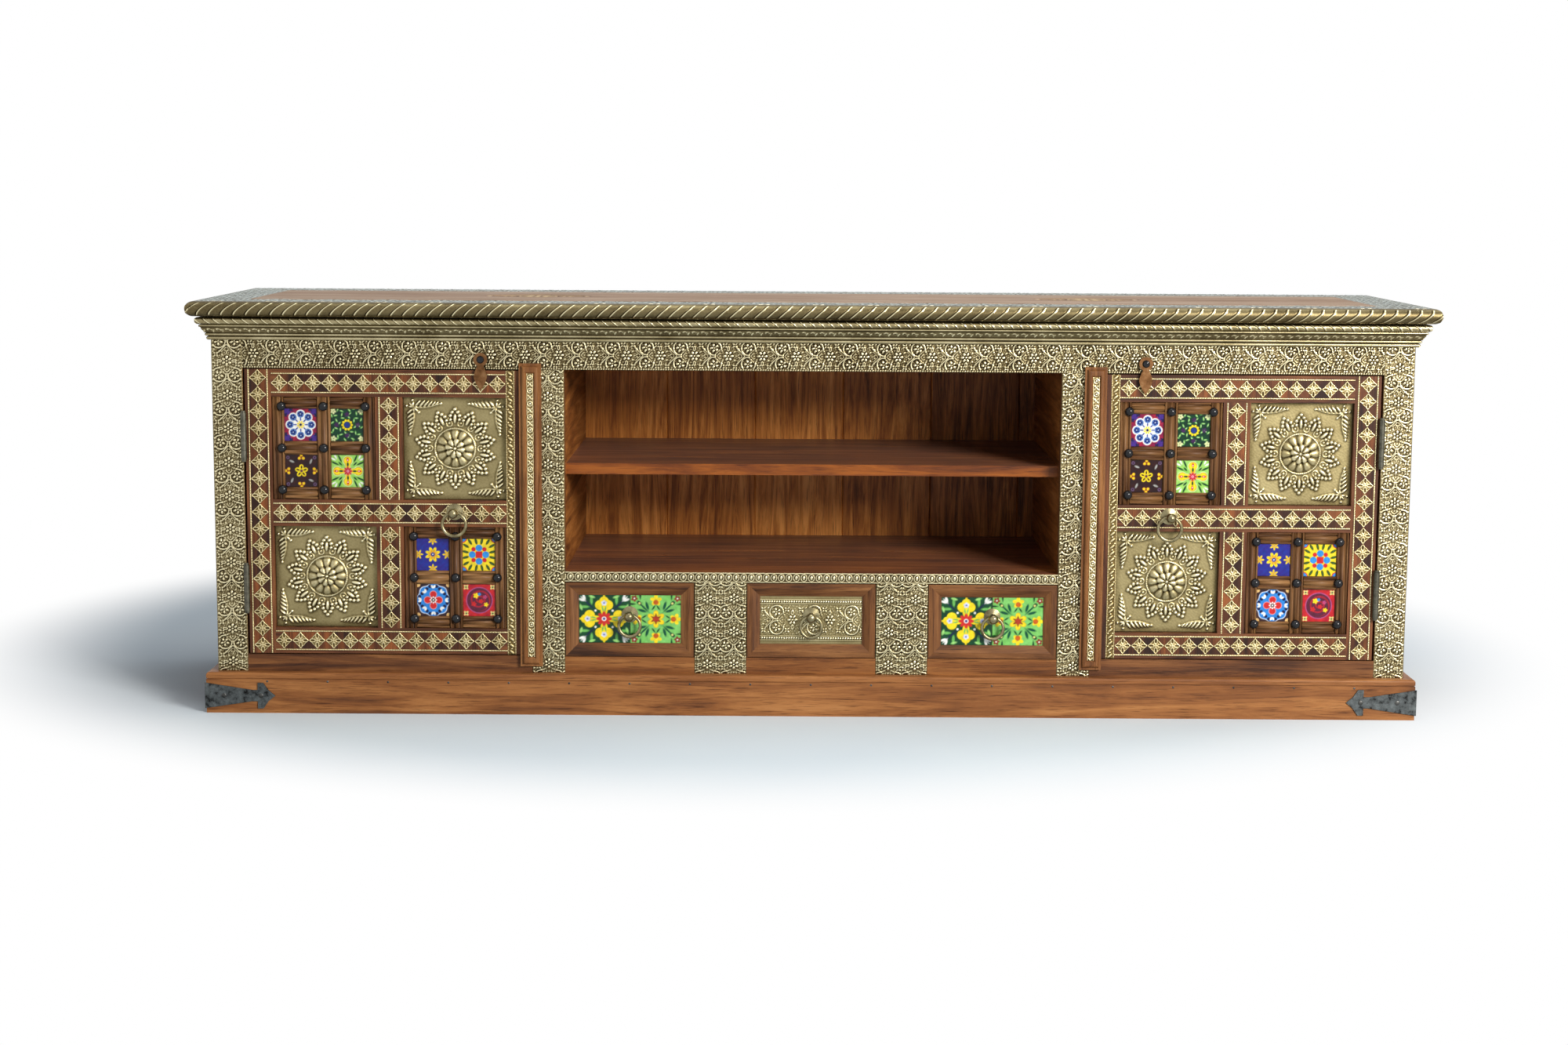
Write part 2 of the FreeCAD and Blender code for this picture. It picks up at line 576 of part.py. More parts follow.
# Pulls: a turned rose and stem with an eye, a ball at its end, and a ring threaded through the eye
def knob(x, z, face, behind):
    """Rose, stem, eye and ball in front of a face, with a shank and nut behind it."""
    rose = ROSE_DIAMETER / 2
    stem = STEM_DIAMETER / 2
    eye = EYE_OUT + EYE_DIAMETER / 2
    ball = BALL_DIAMETER / 2
    root = EYE_OUT - EYE_DIAMETER / 2 + CAST_BLEND
    profile = [
        (0, 0),
        (rose, 0),
        (rose, ROSE_RISE / 3),
        (ROSE_COLLAR / 2, ROSE_RISE),
        (stem, root),
        (0, root),
    ]
    body = turned(profile, x, face, z)
    eye_end = Vector(x - EYE_WIDTH / 2, face - EYE_OUT, z)
    body = body.fuse(Part.makeCylinder(EYE_DIAMETER / 2, EYE_WIDTH, eye_end, Vector(1, 0, 0)))
    body = body.fuse(rod_y(BALL_NECK, x, z, face - eye - ball, face - eye + CAST_BLEND))
    body = body.fuse(Part.makeSphere(ball, Vector(x, face - eye - ball + BALL_SET, z)))
    body = body.fuse(rod_y(SHANK_DIAMETER, x, z, face, behind + NUT_THICKNESS))
    nut = [
        Vector(
            x + NUT_ACROSS / math.sqrt(3) * math.cos(math.radians(60 * count)),
            behind,
            z + NUT_ACROSS / math.sqrt(3) * math.sin(math.radians(60 * count)),
        )
        for count in range(6)
    ]
    nut_solid = Part.Face(Part.makePolygon(nut + nut[:1])).extrude(Vector(0, NUT_THICKNESS, 0))
    body = body.fuse(nut_solid)
    hole = RING_WIRE + 2 * RING_PLAY
    bore = Part.makeCylinder(hole / 2, EYE_WIDTH, eye_end, Vector(1, 0, 0))
    return body.cut(bore).removeSplitter()


def ring(x, z, face, outer):
    """A hanging ring whose round wire thickens from the eye down to the heel."""
    mean = (outer - RING_HEEL / 2 - RING_WIRE / 2) / 2
    halves = []
    for turn in (-1, 1):
        wires = []
        for count in range(RING_SECTIONS + 1):
            angle = turn * math.pi * count / RING_SECTIONS
            wire = RING_WIRE / 2 + (RING_HEEL - RING_WIRE) / 2 * (1 - math.cos(angle)) / 2
            spot = Vector(x + mean * math.sin(angle), face - EYE_OUT, z - mean + mean * math.cos(angle))
            along = Vector(math.cos(angle), 0, -math.sin(angle))
            wires.append(Part.Wire(Part.makeCircle(wire, spot, along)))
        halves.append(Part.makeLoft(wires, True))
    return halves[0].fuse(halves[1]).removeSplitter()


# The doors
def member(x0, x1, z0, z1):
    """A stile, rail or muntin of full door thickness."""
    return block(x0, x1, WOOD, DOOR_BACK, z0, z1)


def door_frame(side):
    """Stiles, tenoned rails and muntins, and the four panels in their grooves."""
    hinge_edge = side * (DOOR_OUT - HINGE_STILE)
    free_edge = side * (DOOR_IN + FREE_STILE)
    tenon_y0 = (WOOD + DOOR_BACK - TENON_THICKNESS) / 2
    tenon_y1 = tenon_y0 + TENON_THICKNESS
    outer_stile = member(side * DOOR_OUT, hinge_edge, DOOR_LOW, DOOR_HIGH)
    inner_stile = member(side * DOOR_IN, free_edge, DOOR_LOW, DOOR_HIGH)
    rails = []
    rail_spans = ((DOOR_LOW, LOWER_ROW[0]), (LOWER_ROW[1], UPPER_ROW[0]), (UPPER_ROW[1], DOOR_HIGH))
    for z0, z1 in rail_spans:
        rail = member(hinge_edge, free_edge, z0, z1)
        cheek = (z1 - z0) / 4
        tenon = block(
            hinge_edge + side * TENON_LENGTH,
            free_edge - side * TENON_LENGTH,
            tenon_y0,
            tenon_y1,
            z0 + cheek,
            z1 - cheek,
        )
        rails.append(rail.fuse(tenon).removeSplitter())
    muntins = []
    for row in (LOWER_ROW, UPPER_ROW):
        muntins.append(member(side * INNER_COLUMN[1], side * OUTER_COLUMN[0], row[0], row[1]))
    for rail in rails:
        outer_stile = outer_stile.cut(rail)
        inner_stile = inner_stile.cut(rail)
    panels = []
    for column in (OUTER_COLUMN, INNER_COLUMN):
        for row in (LOWER_ROW, UPPER_ROW):
            x0, x1 = side * (column[0] - PANEL_TONGUE), side * (column[1] + PANEL_TONGUE)
            z0, z1 = row[0] - PANEL_TONGUE, row[1] + PANEL_TONGUE
            panels.append(block(x0, x1, PANEL_FACE, PANEL_FACE + PANEL_THICKNESS, z0, z1))
    wood = [outer_stile, inner_stile] + rails + muntins
    shank = rod_y(SHANK_DIAMETER + 2 * FIT, side * DOOR_KNOB_X, DOOR_KNOB_Z, WOOD, DOOR_BACK)
    for cutter in panels + [shank]:
        wood = [piece.cut(cutter) for piece in wood]
    return wood + panels


def tile_centres(column, row, side):
    """Centres of the four tiles of one lattice."""
    middle_x = side * (column[0] + column[1]) / 2
    middle_z = (row[0] + row[1]) / 2
    step_x = WINDOW_X + PANEL_WIDTH * GRID_MIDDLE_SHARE / 2
    step_z = WINDOW_Z + PANEL_HEIGHT * GRID_MIDDLE_SHARE / 2
    return [(middle_x + dx * step_x, middle_z + dz * step_z) for dz in (1, -1) for dx in (-1, 1)]


def lattice(column, row, side):
    """A moulded lattice over four tiles, its tiles, and the nine dome nails on its crossings."""
    front = WOOD + GRID_SET
    x0, x1 = sorted((side * column[0], side * column[1]))
    grid = block(x0 + SEAM / 2, x1 - SEAM / 2, front, PANEL_FACE, row[0] + SEAM / 2, row[1] - SEAM / 2)
    half_x, half_z = WINDOW_X, WINDOW_Z
    tile_front = PANEL_FACE - TILE_THICKNESS
    tiles = []
    for x, z in tile_centres(column, row, side):
        wide = (half_x + GRID_BEVEL, half_z + GRID_BEVEL)
        grid = grid.cut(frustum(x, z, front, wide, front + GRID_BEVEL_DEPTH, (half_x, half_z)))
        grid = grid.cut(block(x - half_x, x + half_x, front, PANEL_FACE, z - half_z, z + half_z))
        seat_x, seat_z = half_x + TILE_LAP + FIT, half_z + TILE_LAP + FIT
        grid = grid.cut(block(x - seat_x, x + seat_x, tile_front, PANEL_FACE, z - seat_z, z + seat_z))
        tile_x, tile_z = half_x + TILE_LAP, half_z + TILE_LAP
        tiles.append(block(x - tile_x, x + tile_x, tile_front, PANEL_FACE, z - tile_z, z + tile_z))
    nails = []
    middle_x, middle_z = (x0 + x1) / 2, (row[0] + row[1]) / 2
    reach_x, reach_z = PANEL_WIDTH / 2 - CLAVO_INSET, PANEL_HEIGHT / 2 - CLAVO_INSET
    for dx in (-1, 0, 1):
        for dz in (-1, 0, 1):
            x, z = middle_x + dx * reach_x, middle_z + dz * reach_z
            nails.append(clavo(x, z, front))
            grid = grid.cut(rod_y(NAIL_DIAMETER, x, z, front, front + NAIL_LENGTH))
    return grid, tiles, nails


def clavo(x, z, front):
    """A domed nail: a cap cut from a ball, with a straight shank."""
    half = CLAVO_DIAMETER / 2
    ball = (half**2 + CLAVO_RISE**2) / (2 * CLAVO_RISE)
    centre = CLAVO_RISE - ball
    lean = math.atan2(half, -centre) / 2
    nail = NAIL_DIAMETER / 2
    steps = [
        (0.0, -NAIL_LENGTH),
        ("line", (nail, -NAIL_LENGTH)),
        ("line", (nail, 0.0)),
        ("line", (half, 0.0)),
        ("arc", (ball * math.sin(lean), centre + ball * math.cos(lean)), (0.0, CLAVO_RISE)),
    ]
    face = outline(steps, lambda radius, out: Vector(x + radius, front - out, z))
    return face.revolve(Vector(x, front, z), Vector(0, 1, 0), 360)


def brass_panel(column, row, side):
    """A sheet over the wood panel, driven up into a domed rosette inside a raised ring."""
    x0, x1 = sorted((side * column[0], side * column[1]))
    sheet = block(
        x0 + SEAM / 2, x1 - SEAM / 2, PANEL_FACE - SHEET, PANEL_FACE, row[0] + SEAM / 2, row[1] - SEAM / 2
    )
    x, z = (x0 + x1) / 2, (row[0] + row[1]) / 2
    y = PANEL_FACE - SHEET
    radius = (ROSETTE_RADIUS**2 + ROSETTE_RISE**2) / (2 * ROSETTE_RISE)
    dome = Part.makeSphere(radius, Vector(x, y - ROSETTE_RISE + radius, z))
    dome = dome.common(rod_y(2 * ROSETTE_RADIUS + ROSETTE_RING, x, z, y - 2 * ROSETTE_RISE, y))
    bead = Part.makeTorus(ROSETTE_RADIUS, ROSETTE_RING, Vector(x, y, z), Vector(0, 1, 0))
    bead = bead.common(block(x0, x1, y - 2 * ROSETTE_RING, y, row[0], row[1]))
    return sheet.fuse(dome).fuse(bead).removeSplitter()


def diamond_band(a0, a1, middle, place):
    """A strip of diamonds joined at their points, along one direction, placed by a function."""
    count = max(1, round((a1 - a0) / BAND_PITCH))
    pitch = (a1 - a0) / count
    half, neck = BAND_WIDTH / 2, BAND_NECK / 2
    rise = []
    for step in range(count):
        rise.append((a0 + step * pitch, neck))
        rise.append((a0 + (step + 0.5) * pitch, half))
    rise.append((a1, neck))
    ring_points = [(along, middle + across) for along, across in rise]
    ring_points += [(along, middle - across) for along, across in reversed(rise)]
    points = [place(along, across) for along, across in ring_points]
    return Part.Face(Part.makePolygon(points + points[:1])).extrude(Vector(0, -SHEET, 0))


def door_strips(side):
    """Brass on the door's bars: diamond bands between edge strips, and a ribbon on the free stile."""
    upright = []
    level = []
    hinge_edge = DOOR_OUT - HINGE_STILE
    upright.append((hinge_edge, DOOR_OUT, DOOR_LOW, DOOR_HIGH))
    for row in (LOWER_ROW, UPPER_ROW):
        upright.append((INNER_COLUMN[1], OUTER_COLUMN[0], row[0], row[1]))
    ribbon_in = DOOR_IN + FREE_STILE - RIBBON_WIDTH
    for z0, z1 in ((DOOR_LOW, LOWER_ROW[0]), (LOWER_ROW[1], UPPER_ROW[0]), (UPPER_ROW[1], DOOR_HIGH)):
        level.append((INNER_COLUMN[0], hinge_edge, z0, z1))
    strips = [block(side * ribbon_in, side * INNER_COLUMN[0], FACE, WOOD, DOOR_LOW, DOOR_HIGH)]
    for x0, x1, z0, z1 in upright:
        middle = (x0 + x1) / 2
        band = diamond_band(z0, z1, middle, lambda along, across: Vector(side * across, WOOD, along))
        strips.append(band)
        for edge in (-1, 1):
            near = middle + edge * BAND_WIDTH / 2
            far = near + edge * EDGE_STRIP
            strips.append(block(side * near, side * far, FACE, WOOD, z0, z1))
    for x0, x1, z0, z1 in level:
        middle = (z0 + z1) / 2
        band = diamond_band(x0, x1, middle, lambda along, across: Vector(side * along, WOOD, across))
        strips.append(band)
        for edge in (-1, 1):
            near = middle + edge * BAND_WIDTH / 2
            far = near + edge * EDGE_STRIP
            strips.append(block(side * x0, side * x1, FACE, WOOD, min(near, far), max(near, far)))
    hole = rod_y(SHANK_DIAMETER + 2 * FIT, side * DOOR_KNOB_X, DOOR_KNOB_Z, FACE, WOOD)
    return [piece for strip in strips for piece in strip.cut(hole).Solids]


def astragal(side):
    """The cover strip on the free edge: a low rim round a rounded bar, with a splayed groove for its brass."""
    inner = CENTRE_EDGE - ASTRAGAL_LAP
    outer = inner + ASTRAGAL_WIDTH
    back = FACE - LAP
    front = back - ASTRAGAL_THICKNESS
    z0, z1 = DOOR_LOW - ASTRAGAL_BELOW, DOOR_HIGH + ASTRAGAL_ABOVE
    rim = block(side * inner, side * outer, back - ASTRAGAL_RIM_THICKNESS, back, z0, z1)
    x0, x1 = side * (inner + ASTRAGAL_RIM), side * (outer - ASTRAGAL_RIM)
    bar = block(x0, x1, front, back, z0 + ASTRAGAL_RIM, z1 - ASTRAGAL_RIM)
    brinks = [edge for edge in bar.Edges if abs(edge.BoundBox.YMax - front) < 0.01]
    bar = bar.makeFillet(ASTRAGAL_ROUND, brinks)
    seat = block(side * DOOR_IN, side * outer, back, WOOD, DOOR_LOW, DOOR_HIGH)
    bar = bar.fuse([rim, seat]).removeSplitter()
    middle = side * (inner + outer) / 2
    floor = front + ASTRAGAL_GROOVE_DEPTH
    half = ASTRAGAL_GROOVE / 2
    half_length = (z1 - z0) / 2 - ASTRAGAL_BORDER
    mouth = (half + ASTRAGAL_SPLAY, half_length + ASTRAGAL_SPLAY)
    bar = bar.cut(frustum(middle, (z0 + z1) / 2, front, mouth, floor, (half, half_length)))
    inlay = block(
        middle - half, middle + half, floor - SHEET, floor, z0 + ASTRAGAL_BORDER, z1 - ASTRAGAL_BORDER
    )
    return bar, inlay


def door(name, side):
    """All nodes of one door."""
    left, right = (OUTER_COLUMN, INNER_COLUMN) if side < 0 else (INNER_COLUMN, OUTER_COLUMN)
    bar, inlay = astragal(side)
    outer = CENTRE_EDGE - ASTRAGAL_LAP + ASTRAGAL_WIDTH
    clear = block(side * DOOR_IN, side * outer, FACE, WOOD, DOOR_LOW, DOOR_HIGH)
    strips = [strip.cut(clear) for strip in door_strips(side)]
    keep(f"door_{name}_frame", door_frame(side))
    keep(f"door_{name}_strips", strips + [inlay])
    lattices = [lattice(left, UPPER_ROW, side), lattice(right, LOWER_ROW, side)]
    keep(f"door_{name}_lattices", [grid for grid, _, _ in lattices])
    keep(f"door_{name}_tiles", [tile for _, tiles, _ in lattices for tile in tiles])
    keep(f"door_{name}_clavos", [nail for _, _, nails in lattices for nail in nails])
    keep(
        f"door_{name}_brass_panels",
        [brass_panel(right, UPPER_ROW, side), brass_panel(left, LOWER_ROW, side)],
    )
    keep(f"door_{name}_astragal", bar)
    keep(f"door_{name}_hinge_leaves", door_leaves[name])
    keep(f"door_{name}_knob", knob(side * DOOR_KNOB_X, DOOR_KNOB_Z, FACE, DOOR_BACK))
    keep(f"door_{name}_ring", ring(side * DOOR_KNOB_X, DOOR_KNOB_Z, FACE, DOOR_RING))


for door_name, door_side in SIDES.items():
    door(door_name, door_side)


# Turn latches: a leaf that hangs from a screw in the frieze over the top edge of each door
def latch(x):
    """An eye with a pointed leaf below it, bored for its screw."""
    eye, leaf, neck = LATCH_EYE / 2, LATCH_LEAF / 2, LATCH_NECK / 2
    back = FACE - LATCH_STANDOFF
    shoulder = eye + (LATCH_DROP - eye) * LATCH_SHOULDER
    swell, point = leaf * LATCH_SHOULDER_BOW, leaf * LATCH_POINT_BOW
    z = LATCH_Z
    steps = [
        (x - neck, z),
        ("line", (x - neck, z - eye)),
        ("arc", (x - swell, z - (eye + shoulder) / 2), (x - leaf, z - shoulder)),
        ("arc", (x - point, z - (shoulder + LATCH_DROP) / 2), (x, z - LATCH_DROP)),
        ("arc", (x + point, z - (shoulder + LATCH_DROP) / 2), (x + leaf, z - shoulder)),
        ("arc", (x + swell, z - (eye + shoulder) / 2), (x + neck, z - eye)),
        ("line", (x + neck, z)),
    ]
    blade = outline(steps, lambda px, pz: Vector(px, back, pz)).extrude(Vector(0, -LATCH_THICKNESS, 0))
    disc = rod_y(LATCH_EYE, x, z, back - LATCH_THICKNESS, back)
    bore = rod_y(LATCH_PIN + 2 * TURN, x, z, back - LATCH_THICKNESS, back)
    return blade.fuse(disc).cut(bore).removeSplitter()


def latch_screw(x):
    """A collar, a plain neck for the latch to turn on, a domed head, and a shank in the rail."""
    pin, collar, head = LATCH_PIN / 2, LATCH_COLLAR / 2, LATCH_HEAD / 2
    standoff = LATCH_STANDOFF - TURN
    top = LATCH_STANDOFF + LATCH_THICKNESS + TURN
    depth = SHEET + FRAME_THICKNESS / 2
    profile = [
        (0, -depth),
        (pin, -depth),
        (pin, 0),
        (collar, 0),
        (collar, standoff),
        (pin, standoff),
        (pin, top),
        (head, top),
        (head * LATCH_HEAD_ROUND, top + LATCH_HEAD_RISE * LATCH_HEAD_ROUND),
        (0, top + LATCH_HEAD_RISE),
    ]
    return turned(profile, x, FACE, LATCH_Z)


screws = []
for name, side in SIDES.items():
    keep(f"latch_{name}", latch(side * LATCH_X))
    screws.append(latch_screw(side * LATCH_X))
    for node in ("frieze_rail", "frame_sheets"):
        hole = rod_y(LATCH_PIN, side * LATCH_X, LATCH_Z, FACE, WOOD + FRAME_THICKNESS / 2)
        keep(node, [piece.cut(hole) for piece in nodes[node]])
keep("latch_screws", screws)


# The drawers
def drawer_front(middle):
    """A bevelled moulding round the inlay, and the backing board behind it."""
    half_z = (DRAWER_HIGH - DRAWER_LOW) / 2
    x0, x1 = middle - DRAWER_HALF, middle + DRAWER_HALF
    back = FACE + DRAWER_MOULDING
    moulding = block(x0, x1, FACE, back, DRAWER_LOW, DRAWER_HIGH)
    wide = (DRAWER_HALF - DRAWER_FLAT, half_z - DRAWER_FLAT)
    window = (wide[0] - DRAWER_BEVEL, wide[1] - DRAWER_BEVEL)
    depth = FACE + DRAWER_BEVEL_DEPTH
    moulding = moulding.cut(frustum(middle, DRAWER_MIDDLE, FACE, wide, depth, window))
    moulding = moulding.cut(frustum(middle, DRAWER_MIDDLE, FACE, window, back, window))
    seat = (window[0] + DRAWER_TILE_LAP, window[1] + DRAWER_TILE_LAP)
    moulding = moulding.cut(frustum(middle, DRAWER_MIDDLE, DRAWER_TILE_FACE, seat, back, seat))
    backing = block(x0, x1, back, DRAWER_BACK, DRAWER_LOW, DRAWER_HIGH)
    backing = backing.cut(rod_y(SHANK_DIAMETER + 2 * FIT, middle, DRAWER_KNOB_Z, back, DRAWER_BACK))
    return [moulding, backing], seat


def drawer_inlay(middle, seat, tiled):
    """Two tiles side by side, or one brass sheet on a wood packing, let in behind the moulding."""
    back = FACE + DRAWER_MOULDING
    half_x, half_z = seat[0] - FIT, seat[1] - FIT
    z0, z1 = DRAWER_MIDDLE - half_z, DRAWER_MIDDLE + half_z
    hole = rod_y(SHANK_DIAMETER + 2 * FIT, middle, DRAWER_KNOB_Z, DRAWER_TILE_FACE, back)
    if tiled:
        spans = [(middle - half_x, middle - SEAM / 2), (middle + SEAM / 2, middle + half_x)]
    else:
        spans = [(middle - half_x, middle + half_x)]
    return [block(a, b, DRAWER_TILE_FACE, back, z0, z1).cut(hole) for a, b in spans]


def drawer_box(middle):
    """Two sides, a back, and a bottom let into grooves."""
    half = DRAWER_OPENING / 2 - RUNNER_FENCE - RUN
    low = BASE_TOP + RUNNER_LEDGE_HEIGHT + RUN
    high = low + DRAWER_BOX_HEIGHT
    rear = BACK_FACE - DRAWER_REAR_GAP
    inner = half - DRAWER_WALL
    groove = DRAWER_WALL / 2
    bottom_z = low + DRAWER_BOTTOM_LIFT
    bottom = block(
        middle - inner - groove,
        middle + inner + groove,
        DRAWER_BACK,
        rear - groove,
        bottom_z,
        bottom_z + DRAWER_BOTTOM,
    )
    walls = [block(middle - inner, middle + inner, rear - DRAWER_WALL, rear, low, high)]
    for side in SIDES.values():
        walls.append(block(middle + side * inner, middle + side * half, DRAWER_BACK, rear, low, high))
    return [wall.cut(bottom) for wall in walls] + [bottom]


for name, place in DRAWERS.items():
    drawer_middle = place * DRAWER_PITCH
    front, inlay_seat = drawer_front(drawer_middle)
    keep(f"drawer_{name}_front", front)
    keep(f"drawer_{name}_inlay", drawer_inlay(drawer_middle, inlay_seat, place != 0))
    keep(f"drawer_{name}_box", drawer_box(drawer_middle))
    keep(f"drawer_{name}_knob", knob(drawer_middle, DRAWER_KNOB_Z, DRAWER_TILE_FACE, DRAWER_BACK))
    keep(f"drawer_{name}_ring", ring(drawer_middle, DRAWER_KNOB_Z, DRAWER_TILE_FACE, DRAWER_RING))

os.makedirs("parts", exist_ok=True)
for node_name, solids in nodes.items():
    whole = solids[0] if len(solids) == 1 else Part.makeCompound(solids)
    whole.exportStep(f"parts/{node_name}.step")
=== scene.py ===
from functools import reduce

import bpy
import numpy as np
from mathutils import Matrix


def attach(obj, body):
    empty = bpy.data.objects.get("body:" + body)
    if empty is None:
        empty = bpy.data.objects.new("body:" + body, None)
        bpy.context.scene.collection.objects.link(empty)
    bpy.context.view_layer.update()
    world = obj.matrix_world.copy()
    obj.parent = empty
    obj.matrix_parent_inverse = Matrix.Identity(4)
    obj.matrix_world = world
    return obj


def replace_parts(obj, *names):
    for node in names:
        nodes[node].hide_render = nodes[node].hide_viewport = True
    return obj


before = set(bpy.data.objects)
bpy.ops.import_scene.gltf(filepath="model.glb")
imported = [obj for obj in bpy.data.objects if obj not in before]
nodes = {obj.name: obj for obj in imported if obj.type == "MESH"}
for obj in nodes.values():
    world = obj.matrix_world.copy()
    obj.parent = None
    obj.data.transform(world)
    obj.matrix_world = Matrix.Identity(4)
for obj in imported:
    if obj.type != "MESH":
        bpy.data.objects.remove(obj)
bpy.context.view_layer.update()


# The carcass boards: planed and waxed hardwood of a warm reddish brown, jointed and glued.
# They are the CAD solids; each material has its grain along the board's own length.
def material(name):
    """An empty node material, its tree and its surface shader."""
    made = bpy.data.materials.new(name)
    made.use_nodes = True
    return made, made.node_tree, made.node_tree.nodes["Principled BSDF"]


def fill(tree, node, inputs):
    """Give a node's inputs, by name or place, their values or the sockets they are linked to."""
    for key, value in inputs.items():
        if isinstance(value, bpy.types.NodeSocket):
            tree.links.new(value, node.inputs[key])
        else:
            node.inputs[key].default_value = value


def tune(skin, inputs):
    """Set more inputs of a material's surface shader."""
    fill(skin.node_tree, skin.node_tree.nodes["Principled BSDF"], inputs)


def step(tree, kind, inputs=None, **settings):
    """One shader node: settings are its properties, inputs are values or sockets by name or place."""
    node = tree.nodes.new("ShaderNode" + kind)
    for key, value in settings.items():
        setattr(node, key, value)
    fill(tree, node, inputs or {})
    return node


def calc(tree, operation, *values):
    """The result of one Math node over values or sockets."""
    return step(tree, "Math", dict(enumerate(values)), operation=operation).outputs[0]


def ranged(tree, value, low, high, first, last):
    """A value whose range from low to high is carried over to first and last."""
    return step(tree, "MapRange", dict(enumerate((value, low, high, first, last)))).outputs[0]


def bumped(tree, strength, distance, height):
    """The surface normal, tilted by a field of heights."""
    return step(tree, "Bump", {"Strength": strength, "Distance": distance, "Height": height}).outputs[0]


def axes(tree, place):
    """The three coordinates of a place, each on its own socket."""
    return step(tree, "SeparateXYZ", {0: place}).outputs


def ramp(tree, factor, stops):
    """A colour ramp through (place, colour) stops."""
    node = step(tree, "ValToRGB", {0: factor})
    elements = node.color_ramp.elements
    while len(elements) < len(stops):
        elements.new(1.0)
    for element, (place, colour) in zip(elements, stops):
        element.position = place
        element.color = (*colour, 1.0)
    return node.outputs["Color"]


def noise(tree, place, stretch, seed, detail=6.0, roughness=0.6, distortion=0.0):
    """Noise over object coordinates, with one scale or its own scale on each axis."""
    scales = np.broadcast_to(stretch, 3).tolist()
    mapped = step(tree, "Mapping", {0: place, "Location": (seed, seed * 0.7, seed * 1.3), "Scale": scales})
    inputs = {"Vector": mapped.outputs[0], "Scale": 1.0, "Detail": detail, "Roughness": roughness}
    return step(tree, "TexNoise", {**inputs, "Distortion": distortion}).outputs["Fac"]


def sums(tree, *terms):
    """The sum of sockets, each times its own factor."""
    total = 0.0
    for socket, factor in terms:
        total = calc(tree, "MULTIPLY_ADD", socket, factor, total)
    return total


def exchanged(tree, place, mask, first, second):
    """Coordinates whose first and second axes change places where the mask is one."""
    split = axes(tree, place)
    order = {first: second, second: first}
    other = step(tree, "CombineXYZ", {axis: split[order.get(axis, axis)] for axis in range(3)})
    return step(tree, "MixRGB", {0: mask, 1: place, 2: other.outputs[0]}).outputs[0]


def framed(tree, place, spacing, middle, excess):
    """Coordinates whose X and Z change places on the upright members of mitred frames set side by side.

    Spacing is that of the frames along X, middle their height, excess the half width less the half height.
    """
    split = axes(tree, place)
    across = calc(tree, "ABSOLUTE", calc(tree, "WRAP", split[X], spacing / 2.0, -spacing / 2.0))
    height = calc(tree, "ABSOLUTE", calc(tree, "SUBTRACT", split[Z], middle))
    beyond = calc(tree, "GREATER_THAN", calc(tree, "SUBTRACT", across, height), excess)
    return exchanged(tree, place, beyond, X, Z)


def turned(tree, place, limit):
    """Coordinates whose X and Y change places nearer the middle than a limit, where a board runs across."""
    away = calc(tree, "ABSOLUTE", axes(tree, place)[X])
    return exchanged(tree, place, calc(tree, "LESS_THAN", away, limit), X, Y)


def railed(tree, place, middle, half, rails):
    """Coordinates whose X and Z change places on level rails, each given by its height and half its width.

    The rails of both doors lie within half their length of a middle on either side of the cabinet.
    """
    split = axes(tree, place)
    within = calc(tree, "COMPARE", calc(tree, "ABSOLUTE", split[X]), middle, half)
    levels = [calc(tree, "COMPARE", split[Z], height, width) for height, width in rails]
    on_rail = reduce(lambda one, other: calc(tree, "MAXIMUM", one, other), levels)
    return exchanged(tree, place, calc(tree, "MULTIPLY", within, on_rail), X, Z)


def wood(name, along, tones, seed, boards=None, frames=None, across=None, rails=None, gloss=0.40, shine=0.20,
         wander=0.9, inlaid=False):
    """Hardwood: noise stretched along the grain for figure, a finer one for pores, a broad one for clouds.

    Where boards gives an axis, a first seam and a width, every board has its own tone and its own figure.
    Inlaid pieces take their tone from the relief attribute.
    """
    made, tree, shader = material(name)
    place = step(tree, "TexCoord").outputs["Object"]
    if frames:
        place = framed(tree, place, *frames)
    if across:
        place = turned(tree, place, across)
    if rails:
        place = railed(tree, place, *rails)
    terms = []
    if inlaid:
        terms.append((step(tree, "Attribute", attribute_name="relief").outputs["Fac"], 1.0))
    if boards:
        axis, seam, width = boards
        count = calc(tree, "DIVIDE", calc(tree, "SUBTRACT", axes(tree, place)[axis], seam), width)
        own = step(tree, "TexWhiteNoise", {"W": calc(tree, "FLOOR", count)}, noise_dimensions="1D").outputs
        terms.append((ranged(tree, own["Value"], 0.0, 1.0, -0.07, 0.07), 1.0))
        place = step(tree, "VectorMath", {0: place, 1: own["Color"]}, operation="ADD").outputs[0]
    figure_scale, pore_scale = [52.0] * 3, [700.0] * 3
    figure_scale[along], pore_scale[along] = 3.4, 26.0
    figure = noise(tree, place, figure_scale, seed, detail=7.0, roughness=0.66, distortion=wander)
    cloud = noise(tree, place, 6.0, seed + 3.1, detail=3.0)
    pores = noise(tree, place, pore_scale, seed + 5.7, detail=3.0)
    colour = ramp(tree, sums(tree, *terms, (figure, 0.75), (cloud, 0.25)), tones)
    flecks = ramp(tree, pores, [(0.30, (0.38, 0.33, 0.30)), (0.46, (1.0, 1.0, 1.0))])
    fill(tree, shader, {
        "Base Color": step(tree, "MixRGB", {0: 1.0, 1: colour, 2: flecks}, blend_type="MULTIPLY").outputs[0],
        "Roughness": ranged(tree, figure, 0.3, 0.75, gloss + 0.14, gloss - 0.05),
        "Normal": bumped(tree, 0.25, 0.0012, sums(tree, (figure, 0.5), (pores, 0.5))),
        "Specular IOR Level": shine,
    })
    return made


def tinted(stops, *tint):
    """The same stops with every colour times a tint."""
    return [(place, tuple(np.multiply(colour, tint).tolist())) for place, colour in stops]


